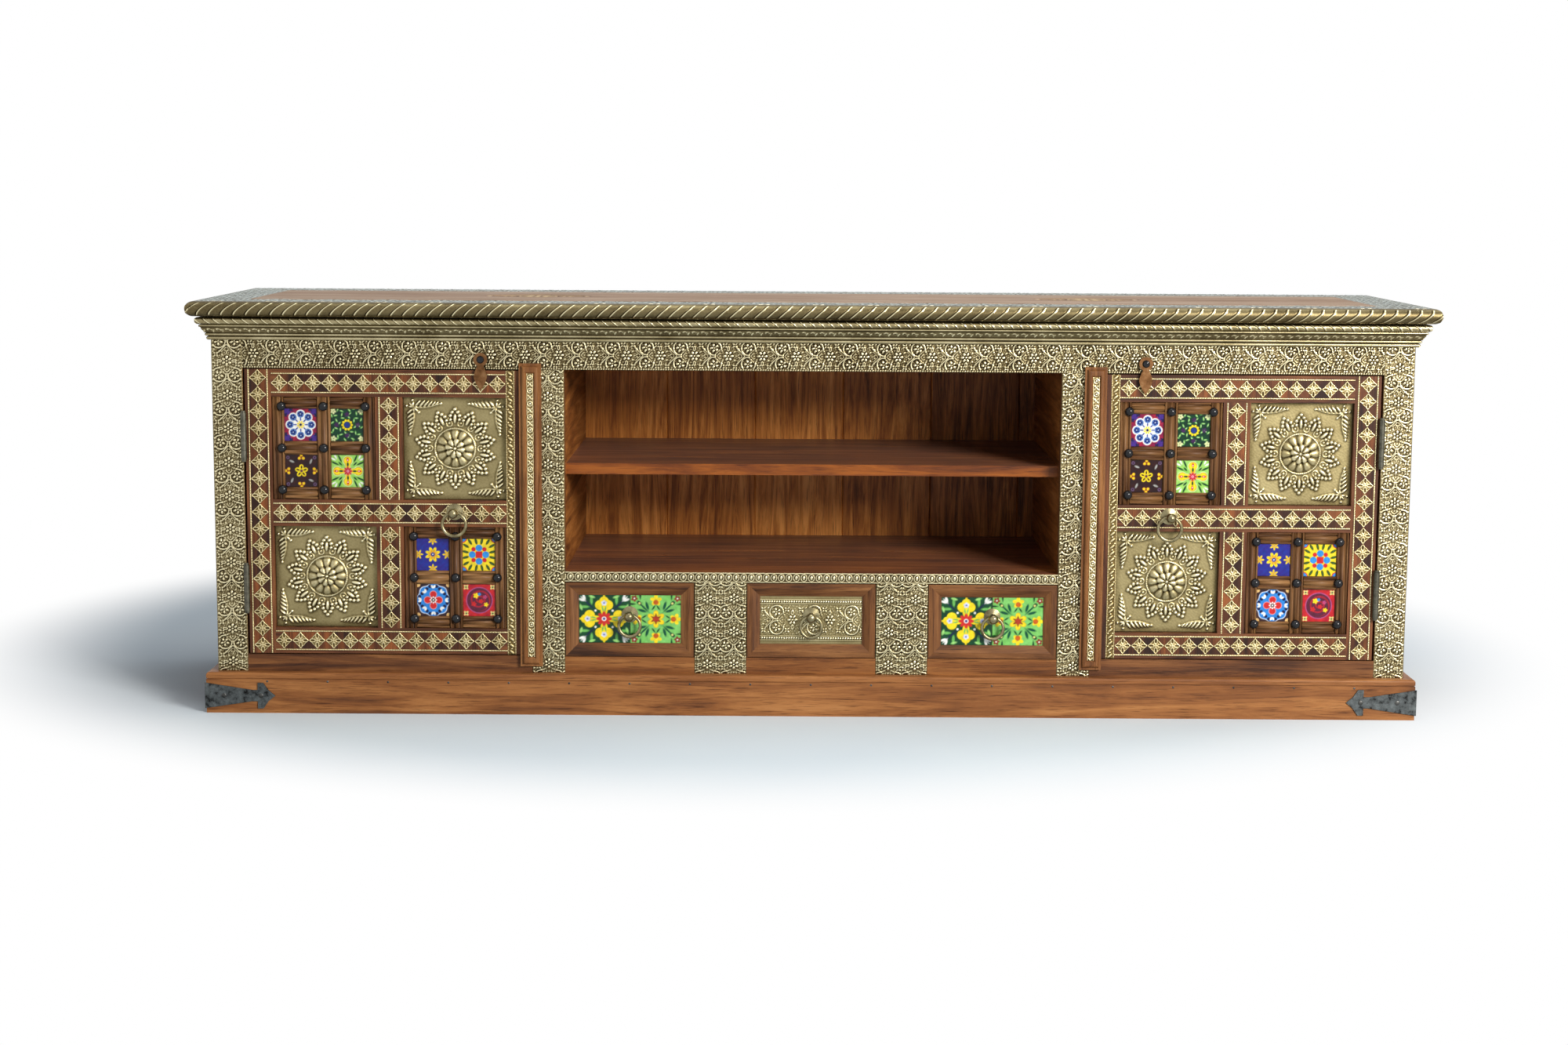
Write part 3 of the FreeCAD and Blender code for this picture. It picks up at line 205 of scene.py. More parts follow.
def dress(skin, *names):
    """Give carried-over CAD nodes their material."""
    for name in names:
        slots = nodes[name].data.materials
        slots.clear()
        slots.append(skin)


X, Y, Z = 0, 1, 2
SILL_WOOD = [(0.38, (0.040, 0.014, 0.006)), (0.47, (0.120, 0.043, 0.014)), (0.56, (0.200, 0.079, 0.025)),
             (0.68, (0.320, 0.140, 0.050))]
NICHE_WOOD = [(0.37, (0.080, 0.024, 0.006)), (0.47, (0.210, 0.068, 0.014)), (0.56, (0.350, 0.128, 0.028)),
              (0.68, (0.520, 0.225, 0.062))]
upright_wood = wood("upright_wood", Z, SILL_WOOD, 1.3)
level_wood = wood("level_wood", X, SILL_WOOD, 4.9)
deep_wood = wood("deep_wood", Y, NICHE_WOOD, 8.2)
shelf_wood = wood("shelf_wood", X, tinted(NICHE_WOOD, 0.74, 0.55, 0.28), 12.4, gloss=0.28, shine=0.26)
tune(shelf_wood, {"Sheen Weight": 0.022})
dress(upright_wood, "side_panels", "front_stiles", "drawer_mullions")
dress(level_wood, "door_sills", "frieze_rail", "base_board")
dress(deep_wood, "partitions", "drawer_runners")
dress(shelf_wood, "niche_floor", "niche_shelf")

# The back of the cabinet: upright boards of the same wood, each cut from another place in the log,
# so every board has its own tone; the log's count starts where the darker boards fall at the right.
# Those darker boards also stand in for the shade at the niche's right side (painted shade), and all the
# boards' tones are raised by half for the light that reaches into the niche (painted light).
SEAM, BOARD, LOG_START = -0.088, 0.141, 152
back_wood = wood("back_wood", Z, tinted(NICHE_WOOD, 1.55, 1.5, 1.35), 17.7, gloss=0.34, wander=2.2,
                 boards=(X, SEAM - LOG_START * BOARD, BOARD))
dress(back_wood, "back_boards")

# The plinth and the top: long boards of lighter, yellower wood, rubbed with wax.
# The plinth is mitred at its front corners; the top is glued up from three boards.
PLINTH_WOOD = [(0.34, (0.090, 0.031, 0.011)), (0.45, (0.205, 0.074, 0.021)), (0.57, (0.315, 0.128, 0.039)),
               (0.70, (0.430, 0.200, 0.070))]
TOP_WOOD = [(0.36, (0.235, 0.145, 0.090)), (0.48, (0.320, 0.215, 0.145)), (0.60, (0.390, 0.280, 0.200)),
            (0.72, (0.460, 0.340, 0.255))]
RETURN_START, TOP_SEAM, TOP_PLANK = 0.86, -0.185, 0.137
plinth_wood = wood("plinth_wood", X, PLINTH_WOOD, 21.5)
return_wood = wood("return_wood", Y, PLINTH_WOOD, 24.1, across=RETURN_START)
top_wood = wood("top_wood", X, TOP_WOOD, 27.9, boards=(Y, TOP_SEAM, TOP_PLANK), gloss=0.62)
lip_wood = wood("lip_wood", X, tinted(PLINTH_WOOD, 0.82, 0.78, 0.70), 29.3)
dress(plinth_wood, "plinth_front")
dress(lip_wood, "drawer_sills")
dress(return_wood, "plinth_returns")
dress(top_wood, "top_board")


# Sheets of embossed brass nailed over the frieze, stiles, mullions and niche edge, struck from one die:
# an ogee trellis with six-petalled flowers, and rings with small flowers where its strands cross.
def brass(name, seed, stops, tops=0.26, hollows=0.58):
    """Old brass: the relief attribute runs from dark hollows to rubbed tops, under a cloudy tarnish; on the
    frieze and at the panels' margins it is also lowered as painted shade.
    """
    made, tree, shader = material(name)
    place = step(tree, "TexCoord").outputs["Object"]
    relief = step(tree, "Attribute", attribute_name="relief").outputs["Fac"]
    cloud = noise(tree, place, 22.0, seed, detail=5.0)
    grime = noise(tree, place, 420.0, seed + 2.3, detail=3.0)
    factor = sums(tree, (relief, 1.0), (cloud, 0.34), (grime, 0.16))
    fill(tree, shader, {
        "Base Color": ramp(tree, factor, stops),
        "Roughness": ranged(tree, factor, 0.35, 1.15, hollows, tops),
        "Normal": bumped(tree, 0.15, 0.0004, grime),
        "Metallic": 1.0,
    })
    return made


def surface(name, grids, body, skin, relief=None, paint=None):
    """One mesh from grids of points in millimetres, each (..., rows, columns, 3), with a quad to each cell.

    Rows climb and columns run to the right for someone facing the outside. Relief and paint are per point.
    """
    quads, first = [], 0
    for grid in grids:
        rows, columns = grid.shape[-3:-1]
        index = first + np.arange(grid.size // 3).reshape(-1, rows, columns)
        corners = [index[:, :-1, :-1], index[:, :-1, 1:], index[:, 1:, 1:], index[:, 1:, :-1]]
        quads.append(np.stack(corners, axis=-1).reshape(-1, 4))
        first += index.size
    quads = np.concatenate(quads).astype(np.int32)
    points = np.concatenate([grid.reshape(-1, 3) for grid in grids]) / 1000.0
    mesh = bpy.data.meshes.new(name)
    mesh.vertices.add(first)
    mesh.vertices.foreach_set("co", points.astype(np.float32).ravel())
    mesh.loops.add(quads.size)
    mesh.loops.foreach_set("vertex_index", quads.ravel())
    mesh.polygons.add(len(quads))
    mesh.polygons.foreach_set("loop_start", np.arange(0, quads.size, 4, dtype=np.int32))
    mesh.polygons.foreach_set("use_smooth", np.ones(len(quads), dtype=bool))
    mesh.update(calc_edges=True)
    if relief is not None:
        heights = np.concatenate([np.ravel(part) for part in relief]).astype(np.float32)
        mesh.attributes.new("relief", "FLOAT", "POINT").data.foreach_set("value", heights)
    if paint is not None:
        colours = np.concatenate([part.reshape(-1, 3) for part in paint])
        colours = np.concatenate([colours, np.ones((first, 1))], axis=1).astype(np.float32)
        layer = mesh.color_attributes.new("paint", "FLOAT_COLOR", "POINT")
        layer.data.foreach_set("color", colours.ravel())
    mesh.materials.append(skin)
    piece = bpy.data.objects.new(name, mesh)
    bpy.context.scene.collection.objects.link(piece)
    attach(piece, body)
    return piece


def unit(values):
    """Values held between nought and one."""
    return np.clip(values, 0.0, 1.0)


def dome(distance, radius):
    """A round-topped bump: one less the square of distance over radius, never below nought."""
    return unit(1.0 - (distance / radius) ** 2)


def centred(value, pitch):
    """Distance from the nearest of the points that stand at a pitch along a line, one of them at nought."""
    return (value + pitch / 2.0) % pitch - pitch / 2.0


def highest(*heights):
    """The highest of several heights at every point."""
    return reduce(np.maximum, heights)


def fold(x, z, count, turn=0.0):
    """The plane folded into one of count equal sectors: (distance along its middle line, and beside it)."""
    radius, angle = np.hypot(x, z), centred(np.arctan2(z, x) + turn, 2.0 * np.pi / count)
    return radius * np.cos(angle), radius * np.sin(angle)


def flower(x, z, count, reach, turn=0.0):
    """A bead within a ring of oval petals, each a dome over an ellipse on the middle line of its sector."""
    along, beside = fold(x, z, count, turn)
    petal = dome(np.hypot((along - 0.62 * reach) / 0.38, beside / 0.25), reach)
    return np.maximum(petal, dome(np.hypot(x, z), 0.2 * reach))


def prominence(height, reach):
    """How far each point stands above the mean of eight neighbours, reach cells away."""
    wide = np.pad(height, reach, mode="edge")
    rows, columns = height.shape
    steps = (0, reach, 2 * reach)
    shifts = [(a, b) for a in steps for b in steps if (a, b) != (reach, reach)]
    near = sum(wide[a:a + rows, b:b + columns] for a, b in shifts) / len(shifts)
    return height - near


def ripple(x, z, size):
    """The slight unevenness of hand work: a product of crossed sines, from minus one to one."""
    first = np.sin(x / size + 1.7 * np.sin(z / (2.3 * size)))
    return first * np.sin(z / (0.9 * size) + 1.3 * np.sin(x / (1.9 * size)))


def arabesque(across, along, pitch=49.0, width=39.0):
    """The die of the sheets: strands cross every pitch and part into a V above and below.

    A ring with a flower stands on each side of the crossing; a broad flower of six petals and small stars
    fill the field between. The highest of all of them counts.
    """
    across, rise = centred(across, width), centred(along, pitch)
    side, level = np.abs(across), along % pitch - pitch / 2.0
    ring = np.hypot(side - 11.2, rise - 4.5) - 10.0
    lens = np.abs(np.hypot((side - 10.6) / 3.0, level / 1.5) - 1.0) * 1.5
    layers = [
        0.95 * dome(ring, 0.9) * ((rise < 7.0) + (side > 9.0)),
        0.95 * flower(side - 11.6, rise - 4.3, 5, 6.6, 0.3),
        flower(across, level, 6, 8.0, np.pi / 6.0),
        0.8 * flower(across, rise + 10.6, 3, 3.6, np.pi / 2.0),
        0.8 * dome(np.hypot(across, rise - 12.6), 1.0),
        0.75 * dome(lens, 0.65),
        0.32 * unit(1.7 * ripple(side + 0.6, rise, 0.9) - 0.3),
    ]
    for way, shift, breadth, low, high, gain in (
        (1.0, 3.0, 0.8, 3.0, 12.5, 0.60), (1.0, 7.6, 0.7, 7.6, 13.0, 0.55),
        (-1.0, 0.6, 0.9, 0.0, 13.0, 0.85), (-1.0, 4.2, 0.7, 4.2, 12.0, 0.60),
    ):
        run = way * rise
        layers.append(gain * dome((side - run + shift) / DIAGONAL, breadth) * (run > low) * (run < high))
    for place, reach in ((19.6, 5.0), (-15.0, 4.8)):
        arm, beside = fold(side - 15.4, rise - place, 4, np.pi / 4.0)
        layers.append(0.85 * dome(np.hypot((arm - 0.55 * reach) / (0.45 * reach), beside), 1.0))
    for x, z in ((18.4, 10.8), (18.0, -7.6), (6.2, -15.4), (7.4, 15.8), (19.2, -1.5)):
        layers.append(0.75 * dome(np.hypot(side - x, rise - z), 1.25))
    return unit(highest(*layers) + 0.07 * ripple(across, along, 0.8))


def bead_row(along, across, pitch, radius):
    """A row of round beads along a line."""
    return dome(np.hypot(centred(along, pitch), across), radius)


def embossed(name, span_u, span_v, cell, pattern, depths, place, body, skin, gain=1.25, level=0.45, reach=2,
             worn=0.0, slot="embossed_brass"):
    """A sheet pressed into relief: a grid over a rectangle, raised by a pattern of heights up to one.

    Depths are of the rim, of the hollows and of the tops; the rim is turned back, so no edge stands open.
    Worn is the breadth of a margin darkened towards the edges, by tarnish and by painted shade where the sunk
    sheet meets its frame.
    """
    u, v = (np.linspace(a, b, max(2, round(abs(b - a) / cell) + 1)) for a, b in (span_u, span_v))
    u, v = np.meshgrid(u, v)
    height = pattern(u, v)
    tone = level + gain * prominence(height, reach)
    if worn:
        brink = np.minimum(np.minimum(u - u.min(), u.max() - u), np.minimum(v - v.min(), v.max() - v))
        # The darker margin: tarnish, and painted shade where the sunk sheet meets its frame.
        tone = tone - 0.16 * unit(1.0 - brink / worn)
    rim, low, high = depths
    depth = np.pad(low + (high - low) * height, 1, constant_values=rim)
    u, v, tone = (np.pad(values, 1, mode="edge") for values in (u, v, tone))
    return surface(name, [place(u, v, depth)], body, skin, relief=[tone])


def upright(u, v, depth):
    """Points of a sheet that faces the front: u runs along X, v up, depth along Y."""
    return np.stack([u, depth, v], axis=-1)


DIAGONAL = 1.41
OLD_BRASS = [(0.28, (0.012, 0.008, 0.004)), (0.50, (0.070, 0.051, 0.022)), (0.74, (0.250, 0.203, 0.102)),
             (1.02, (0.700, 0.630, 0.400))]
sheet_brass = brass("sheet_brass", 2.2, OLD_BRASS)
SHEET_DEPTHS = (-193.2, -193.35, -194.5)
FRIEZE_X, FRIEZE_Z, FRIEZE_MIDDLE = (-825.0, 825.0), (504.5, 546.0), 526.0
EDGE_X, EDGE_Z, EDGE_MIDDLE = (-360.0, 360.0), (195.0, 210.0), 202.5
STILES = {"left_corner": (-869.0, -825.0, 60.0, 546.0), "right_corner": (825.0, 869.0, 60.0, 546.0),
          "left_centre": (-408.0, -360.0, 60.0, 504.5), "right_centre": (360.0, 408.0, 60.0, 504.5),
          "left_mullion": (-170.67, -94.67, 60.0, 195.0), "right_mullion": (94.67, 170.67, 60.0, 195.0)}
WIDE_STILE, HALF_DIE = 60.0, 19.5


def frieze_pattern(u, v):
    """The die laid on its side between a plain margin with fine beads below and the cornice above."""
    margin = unit((v - FRIEZE_Z[0] - 3.2) / 0.8)
    beads = bead_row(u, v - FRIEZE_Z[0] - 1.8, 3.6, 1.2)
    return np.maximum(arabesque(v - FRIEZE_MIDDLE, u) * margin, 0.7 * beads)


def stile_pattern(x0, x1):
    """The die upright, centred between the two edges, with a narrow plain margin."""
    shift = HALF_DIE if x1 - x0 > WIDE_STILE else 0.0

    def pattern(u, v):
        margin = unit((np.minimum(u - x0, x1 - u) - 0.8) / 0.8)
        return arabesque(u - (x0 + x1) / 2.0 + shift, v) * margin

    return pattern


def edge_pattern(u, v):
    """The niche edge: upright eggs in rings between two threads."""
    x, z = centred(u, 11.0), v - EDGE_MIDDLE
    egg = dome(np.hypot(x / 0.62, z), 4.2)
    ring = 0.7 * dome(np.abs(np.hypot(x / 0.8, z) - 5.2), 0.9)
    return highest(egg, ring, 0.6 * dome(np.abs(np.abs(z) - 6.6), 0.8))


def frame_sheet(name, span_u, span_v, pattern, cell=1.0, level=0.45):
    """One sheet of the carcass, nailed to the face of the wood."""
    piece = embossed(name, span_u, span_v, cell, pattern, SHEET_DEPTHS, upright, "carcass", sheet_brass,
                     level=level)
    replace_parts(piece, "frame_sheets")


# The frieze sheet is toned darker than the other sheets: painted shade under the overhanging cornice.
frame_sheet("frieze_sheet", FRIEZE_X, FRIEZE_Z, frieze_pattern, level=0.37)
for name, (x0, x1, z0, z1) in STILES.items():
    frame_sheet(name + "_sheet", (x0, x1), (z0, z1), stile_pattern(x0, x1))
frame_sheet("niche_edge_sheet", EDGE_X, EDGE_Z, edge_pattern, cell=0.9)


# The cornice and the nosing of the top: wood mouldings clad in brass, mitred round the front corners.
# The round members carry slanting threads, the leaning band a running wave.
def moulding(name, profile, half, front, back, spacing, carve, lean, skin):
    """A closed profile of (out, up) points carried along the left end, the front and the right end.

    Each run grows in length with the distance out, so the runs meet on the mitre. Between the mitres the
    columns lean as the carving does. Points are raised by carve(along, up, out), along the outward normal.
    """
    loop = np.concatenate([profile, profile[:1]])
    tangent = np.roll(profile, -1, axis=0) - np.roll(profile, 1, axis=0)
    normal = np.stack([tangent[:, 1], -tangent[:, 0]], axis=-1)
    normal /= np.linalg.norm(normal, axis=1, keepdims=True)
    normal = np.concatenate([normal, normal[:1]])
    out, up = loop[:, :1], loop[:, 1:]
    depth = back - front
    run = np.linspace(front, back, round(depth / spacing))
    runs, tones = [], []
    for number, along in enumerate((run[::-1], np.linspace(-half, half, round(2 * half / spacing)), run)):
        taper = unit(np.minimum(along - along.min(), along.max() - along) / MITRE)
        along = along + (lean if number else -lean) * (up - up.mean()) * taper
        raised, tone = carve(along if number else -along, up + 0.0 * along, out + 0.0 * along)
        p, z = out + normal[:, :1] * raised, up + normal[:, 1:] * raised
        if number == 1:
            x, y = (half + p) * along / half, front - p
        else:
            x, y = (number - 1.0) * (half + p), front - p + (depth + p) * (along - front) / depth
        runs.append(np.stack([x, y, z], axis=-1))
        tones.append(tone)
    points, tone = np.concatenate(runs, axis=1), np.concatenate(tones, axis=1)
    middle = points[:-1].mean(axis=0)
    ends = [np.broadcast_to(middle[end], (len(loop), 1, 3)) for end in (0, -1)]
    points = np.concatenate([ends[0], points, ends[1]], axis=1)
    tone = np.pad(tone, ((0, 0), (1, 1)), mode="edge")
    return surface(name, [points], "carcass", skin, relief=[tone])


def arc(centre, radius, count):
    """Points of a half circle that bulges outward, from its foot to its head."""
    angle = np.radians(np.linspace(-90.0, 90.0, count))
    return np.stack([centre[0] + radius * np.cos(angle), centre[1] + radius * np.sin(angle)], axis=-1)


def threads(pitch, lean, width, low, high, base):
    """Slanting raised threads with a cut beside each: the distance is from the line along = lean x up."""
    def carve(along, up, out):
        gap = centred(along - lean * up + 0.9 * np.sin(along / 37.0), pitch)
        gap = gap / np.hypot(1.0, lean)
        inside = unit(np.minimum(up - low, high - up) / 1.2)
        line = dome(gap, width) * inside
        cut = dome(gap + 1.7 * width, 0.95 * width) * inside
        return THREAD_RISE * (line - 0.9 * cut - 1.0), base + 0.62 * line - 0.34 * cut

    return carve


def waves(along, up, out):
    """The lower cornice: a running wave of hooked arcs on the leaning band, smooth beads below it."""
    x, z = centred(along, 13.0), up - 559.0
    inside = unit(np.minimum(up - 556.2, 563.6 - up) / 0.8) * (out > 7.0)
    hook = dome(np.abs(np.hypot(x + 0.4 * z, z + 0.6) - 3.1), 0.8) * (x + 0.8 * z > -2.6)
    bead = dome(np.hypot(x - 4.9, z - 0.6), 1.4)
    raised = np.maximum(hook, bead) * inside
    beads = unit((556.0 - up) / 0.5)
    valley = np.minimum(np.minimum(np.abs(up - 551.0), np.abs(up - 555.6)), np.abs(up - 563.9))
    tone = 0.34 + 0.5 * raised + 0.22 * beads - 0.25 * unit(1.0 - valley / 0.9)
    tone = tone + 0.24 * unit((up - 564.0) / 0.3)
    return 0.7 * raised - 0.2, tone


TOP_UNDER, TOP_RIM, MITRE, THREAD_RISE = 579.0, 601.2, 20.0, 0.6
SLASH, COUNTER = 1.05, -1.0
CORNICE_SPAN, TOP_SPAN = (869.0, -194.0, 220.0), (900.0, -225.0, 225.0)
moulding_brass = brass("moulding_brass", 6.4, OLD_BRASS, tops=0.22, hollows=0.46)
torus = np.concatenate([[[0.0, 567.5]], arc((14.0, 573.25), 5.75, 13), [[0.0, TOP_UNDER]]])
lower = np.concatenate([
    [[0.0, 545.0]], arc((2.5, 548.0), 3.0, 8), arc((5.0, 553.25), 2.25, 7),
    np.stack([np.linspace(7.5, 12.5, 12), np.linspace(555.5, 564.0, 12)], axis=-1),
    [[14.0, 564.0], [14.4, 565.7], [14.0, 567.5], [0.0, 567.5]],
])
nosing = np.concatenate([
    [[-40.0, TOP_UNDER], [-26.0, TOP_UNDER]], arc((-11.5, 590.5), 11.5, 19),
    [[-11.7, TOP_RIM], [-40.0, TOP_RIM]],
])
torus_threads = threads(13.3, COUNTER, 0.80, 568.2, 578.6, 0.52)
nosing_threads = threads(17.4, SLASH, 0.90, 581.0, 600.5, 0.33)
for name, profile, span, spacing, carve, lean, node in (
    ("cornice_torus", torus, CORNICE_SPAN, 0.95, torus_threads, COUNTER, "cornice"),
    ("cornice_beads", lower, CORNICE_SPAN, 1.65, waves, 0.0, "cornice"),
    ("top_nosing_clad", nosing, TOP_SPAN, 1.1, nosing_threads, SLASH, "top_nosing"),
):
    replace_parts(moulding(name, profile, *span, spacing, carve, lean, moulding_brass), node)


# The top's border of embossed brass, and its two medallions: pointed leaves of the same sheet, let in flush
# under a brown lacquer, each with a flower in a ring and a smaller flower to each side.
def flat(u, v, depth):
    """Points of a sheet that faces up: u runs along X, v along Y, depth up."""
    return np.stack([u, v, depth], axis=-1)


TOP_LOW, TOP_HIGH, BOLDER = 601.3, 601.95, 1.6
TOP_DEPTHS = (TOP_RIM, TOP_LOW, TOP_HIGH)
END, FRONT, BACK = 888.5, -213.5, 225.0
INNER_END, INNER = 820.0, 145.0
BORDER = {"front": ((-END, END), (FRONT, -INNER)), "back": ((-END, END), (INNER, BACK)),
          "left": ((-END, -INNER_END), (-INNER, INNER)), "right": ((INNER_END, END), (-INNER, INNER))}
# The border's brass is tinted bluer and its gloss takes a blue-grey tint: painted reflection of cool
# surroundings at grazing views.
top_brass = brass("top_brass", 9.6, tinted(OLD_BRASS, 1.0, 1.0, 1.15))
tune(top_brass, {"Specular Tint": (0.66, 0.82, 1.0, 1.0)})


def border_pattern(u, v):
    """The die, drawn bolder, laid along each side of the border and mitred where the sides meet."""
    lengthwise = (END - np.abs(u)) > np.where(v < 0.0, v - FRONT, BACK - v)
    line = np.where(v < 0.0, v - (FRONT - INNER) / 2.0, v - (BACK + INNER) / 2.0)
    across = np.where(lengthwise, line, np.abs(u) - (END + INNER_END) / 2.0)
    return arabesque(across / BOLDER, np.where(lengthwise, u, v) / BOLDER, width=42.0)


for name, (span_u, span_v) in BORDER.items():
    piece = embossed("top_border_" + name, span_u, span_v, 2.0, border_pattern, TOP_DEPTHS, flat, "carcass",
                     top_brass, gain=0.9, level=0.47)
    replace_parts(piece, "top_border")
LONG, SHORT, MEDALLION_X = 82.5, 55.0, 415.0
LACQUER = [(0.38, (0.050, 0.022, 0.009)), (0.56, (0.170, 0.088, 0.040)), (0.78, (0.330, 0.210, 0.105)),
           (1.02, (0.480, 0.340, 0.180))]
lacquer = brass("lacquer", 31.7, LACQUER, tops=0.48, hollows=0.66)
tune(lacquer, {"Metallic": 0.0, "Specular IOR Level": 0.20})
s, t = np.meshgrid(np.linspace(-1.0, 1.0, 97), np.linspace(-1.0, 1.0, 65))
leaf_x, leaf_y = LONG * s, SHORT * t * (1.0 - s ** 2) * 0.98
rim = np.maximum(np.abs(t), np.abs(s))
height = highest(
    flower(leaf_x, leaf_y, 8, 24.0), 0.7 * flower(np.abs(leaf_x) - 44.0, leaf_y, 6, 13.0),
    0.8 * dome(np.abs(rim - 0.9), 0.06), 0.8 * dome(np.abs(np.hypot(leaf_x, leaf_y) - 28.0), 1.6),
)
tone = 0.36 + 0.9 * prominence(height, 2) + 0.3 * height
depth = np.where(rim > 0.995, TOP_RIM, TOP_LOW + (TOP_HIGH - TOP_LOW) * height)
for name, offset in (("left", -MEDALLION_X), ("right", MEDALLION_X)):
    grid = flat(leaf_x + offset, leaf_y, depth)
    piece = surface("medallion_" + name, [grid], "carcass", lacquer, relief=[tone])
    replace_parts(piece, "top_border")


# The door frames: stiles, tenoned rails and muntins of dark wood behind the brass work, with plain panels.
# The astragals are bars of the redder wood, rounded over.
DARK_WOOD = [(0.38, (0.032, 0.011, 0.005)), (0.48, (0.095, 0.032, 0.013)), (0.57, (0.165, 0.058, 0.021)),
             (0.68, (0.260, 0.100, 0.036))]
RAILS = (0.61425, 0.16975, ((0.1055, 0.019), (0.294, 0.0195), (0.4835, 0.020)))
door_wood = wood("door_wood", Z, DARK_WOOD, 31.3, rails=RAILS)
astragal_wood = wood("astragal_wood", Z, tinted(PLINTH_WOOD, 0.78, 0.80, 0.80), 33.8)
SIDES = {"left": -1.0, "right": 1.0}
for name in SIDES:
    dress(door_wood, f"door_{name}_frame")
    dress(astragal_wood, f"door_{name}_astragal")

# The diamond bands: cast brass lozenges with a beaded rim, four looped petals and a boss, pinned to the bars
# point to point, with triangles of dark wood let in between them. Fine beaded strips run along both edges.
DOOR_FACE = -193.2
BAND_HALF, EDGE = 12.5, 2.4
HINGE_BAR, MUNTIN_BAR, RIBBON_BAR, INLAY_BAR = 803.0, 614.25, 438.0, 408.5
RIBBON_X, INLAY_X = (431.5, 444.5), (403.6, 413.4)
RAIL_SPAN, STILE_SPAN, INLAY_SPAN = (444.5, 784.0), (86.5, 503.0), (84.6, 499.9)
BARS = [(False, HINGE_BAR, *STILE_SPAN)]
BARS += [(False, MUNTIN_BAR, *span) for span in ((124.5, 274.5), (313.5, 463.5))]
BARS += [(True, height, *RAIL_SPAN) for height in (105.5, 294.0, 483.25)]
BAND_BRASS = [(0.20, (0.030, 0.018, 0.007)), (0.42, (0.135, 0.092, 0.032)), (0.66, (0.400, 0.310, 0.140)),
              (0.95, (0.780, 0.690, 0.430))]
band_brass = brass("band_brass", 12.8, BAND_BRASS)
TRIANGLE_WOOD = [(0.36, (0.020, 0.007, 0.004)), (0.46, (0.058, 0.019, 0.008)), (0.56, (0.115, 0.036, 0.012)),
                 (0.68, (0.240, 0.074, 0.022))]
triangle_wood = wood("triangle_wood", Z, TRIANGLE_WOOD, 34.4, inlaid=True)


def lozenge(x, z):
    """Heights of one diamond: a lumpy rope along the rim, a looped petal at each point, ribs and a boss."""
    rope = 0.75 + 0.25 * np.sin((np.abs(x) - np.abs(z)) * 2.2)
    along, beside = fold(x, z, 4)
    loop = np.abs(np.hypot((along - 7.0) / 4.4, beside / 2.3) - 1.0) * 2.3
    rib_along, rib_beside = fold(x, z, 4, np.pi / 4.0)
    return highest(
        rope * dome((np.abs(x) + np.abs(z) - 11.3) / DIAGONAL, 0.85), 0.9 * dome(loop, 0.8),
        0.6 * dome(rib_beside, 0.7) * (rib_along < 6.8), dome(np.hypot(x, z), 3.0),
    )


def laid(level, along, depth, across):
    """Points on a level or upright bar, from the distance along it, the depth and the distance across."""
    along, depth, across = np.broadcast_arrays(along, depth, across)
    return np.stack([along, depth, across] if level else [across, depth, along], axis=-1)


def sided(side, grids):
    """Grids of the right door, or mirrored for the left with their columns turned, so that they face out."""
    return [(grid * (side, 1.0, 1.0))[..., ::int(side), :] for grid in grids]


def door_bands(name, side):
    """Three meshes of one door: the diamonds as turned square grids, the triangles, the beaded strips."""
    a, b = np.meshgrid(np.linspace(-1.0, 1.0, 22), np.linspace(-1.0, 1.0, 22))
    x, z = (a - b) * BAND_HALF / 2.0, (a + b) * BAND_HALF / 2.0
    height = lozenge(x, z)
    tone = 0.17 + 0.36 * prominence(height, 2) + 0.38 * height
    depth = np.pad(DOOR_FACE - 0.35 - 0.95 * height, 1, constant_values=DOOR_FACE)
    x, z, tone = (np.pad(values, 1, mode="edge") for values in (x, z, tone))
    wide = np.array([[-0.2, 0.0, 0.2], [-0.98, 0.0, 0.98]])
    tall = np.array([[0.2] * 3, [BAND_HALF - 0.2] * 3])
    diamonds, triangles, strips, strip_tones = [], [], [], []
    for level, line, first, last in BARS:
        count = max(1, round((last - first) / (2.0 * BAND_HALF)))
        pitch, ends = (last - first) / count, np.linspace(first, last, count + 1)
        middles = ((ends[1:] + ends[:-1]) / 2.0)[:, None, None]
        across, along = (z, x) if level else (x, z)
        diamonds.append(laid(level, middles + along * (pitch / (2.0 * BAND_HALF)), depth, line + across))
        u, v = np.meshgrid(np.linspace(first, last, round((last - first) / 0.8)), np.linspace(0.0, EDGE, 5))
        beads = bead_row(u, v - EDGE / 2.0, 2.5, 1.15)
        strip_depth = np.pad(DOOR_FACE - 0.25 - 0.95 * beads, 1, constant_values=DOOR_FACE)
        u, v, strip_tone = (np.pad(values, 1, mode="edge") for values in (u, v, 0.18 + 0.68 * beads))
        tips = ends[1:-1, None, None] + wide * pitch / 2.0
        for edge in (-1.0, 1.0):
            turn = -1 if (edge < 0.0) == level else 1
            strips.append(laid(level, u, strip_depth, line + edge * (BAND_HALF + v))[::turn])
            strip_tones.append(strip_tone[:, ::int(side)])
            triangles.append(laid(level, tips, DOOR_FACE - 0.12, line + edge * tall)[:, ::turn])
    diamonds, triangles = sided(side, [np.concatenate(diamonds), np.concatenate(triangles)])
    tones = np.broadcast_to(tone[:, ::int(side)], diamonds.shape[:-1])
    shades = np.random.default_rng(7 if side < 0.0 else 11).uniform(-0.13, 0.13, (len(triangles), 1, 1))
    shades = np.broadcast_to(shades, triangles.shape[:-1])
    body, slot = f"door_{name}", "embossed_brass"
    pieces = [surface(f"door_{name}_diamonds", [diamonds], body, band_brass, relief=[tones])]
    surface(f"door_{name}_triangles", [triangles], body, triangle_wood, relief=[shades])
    strips = sided(side, strips)
    pieces.append(surface(f"door_{name}_beading", strips, body, band_brass, relief=strip_tones))
    return pieces


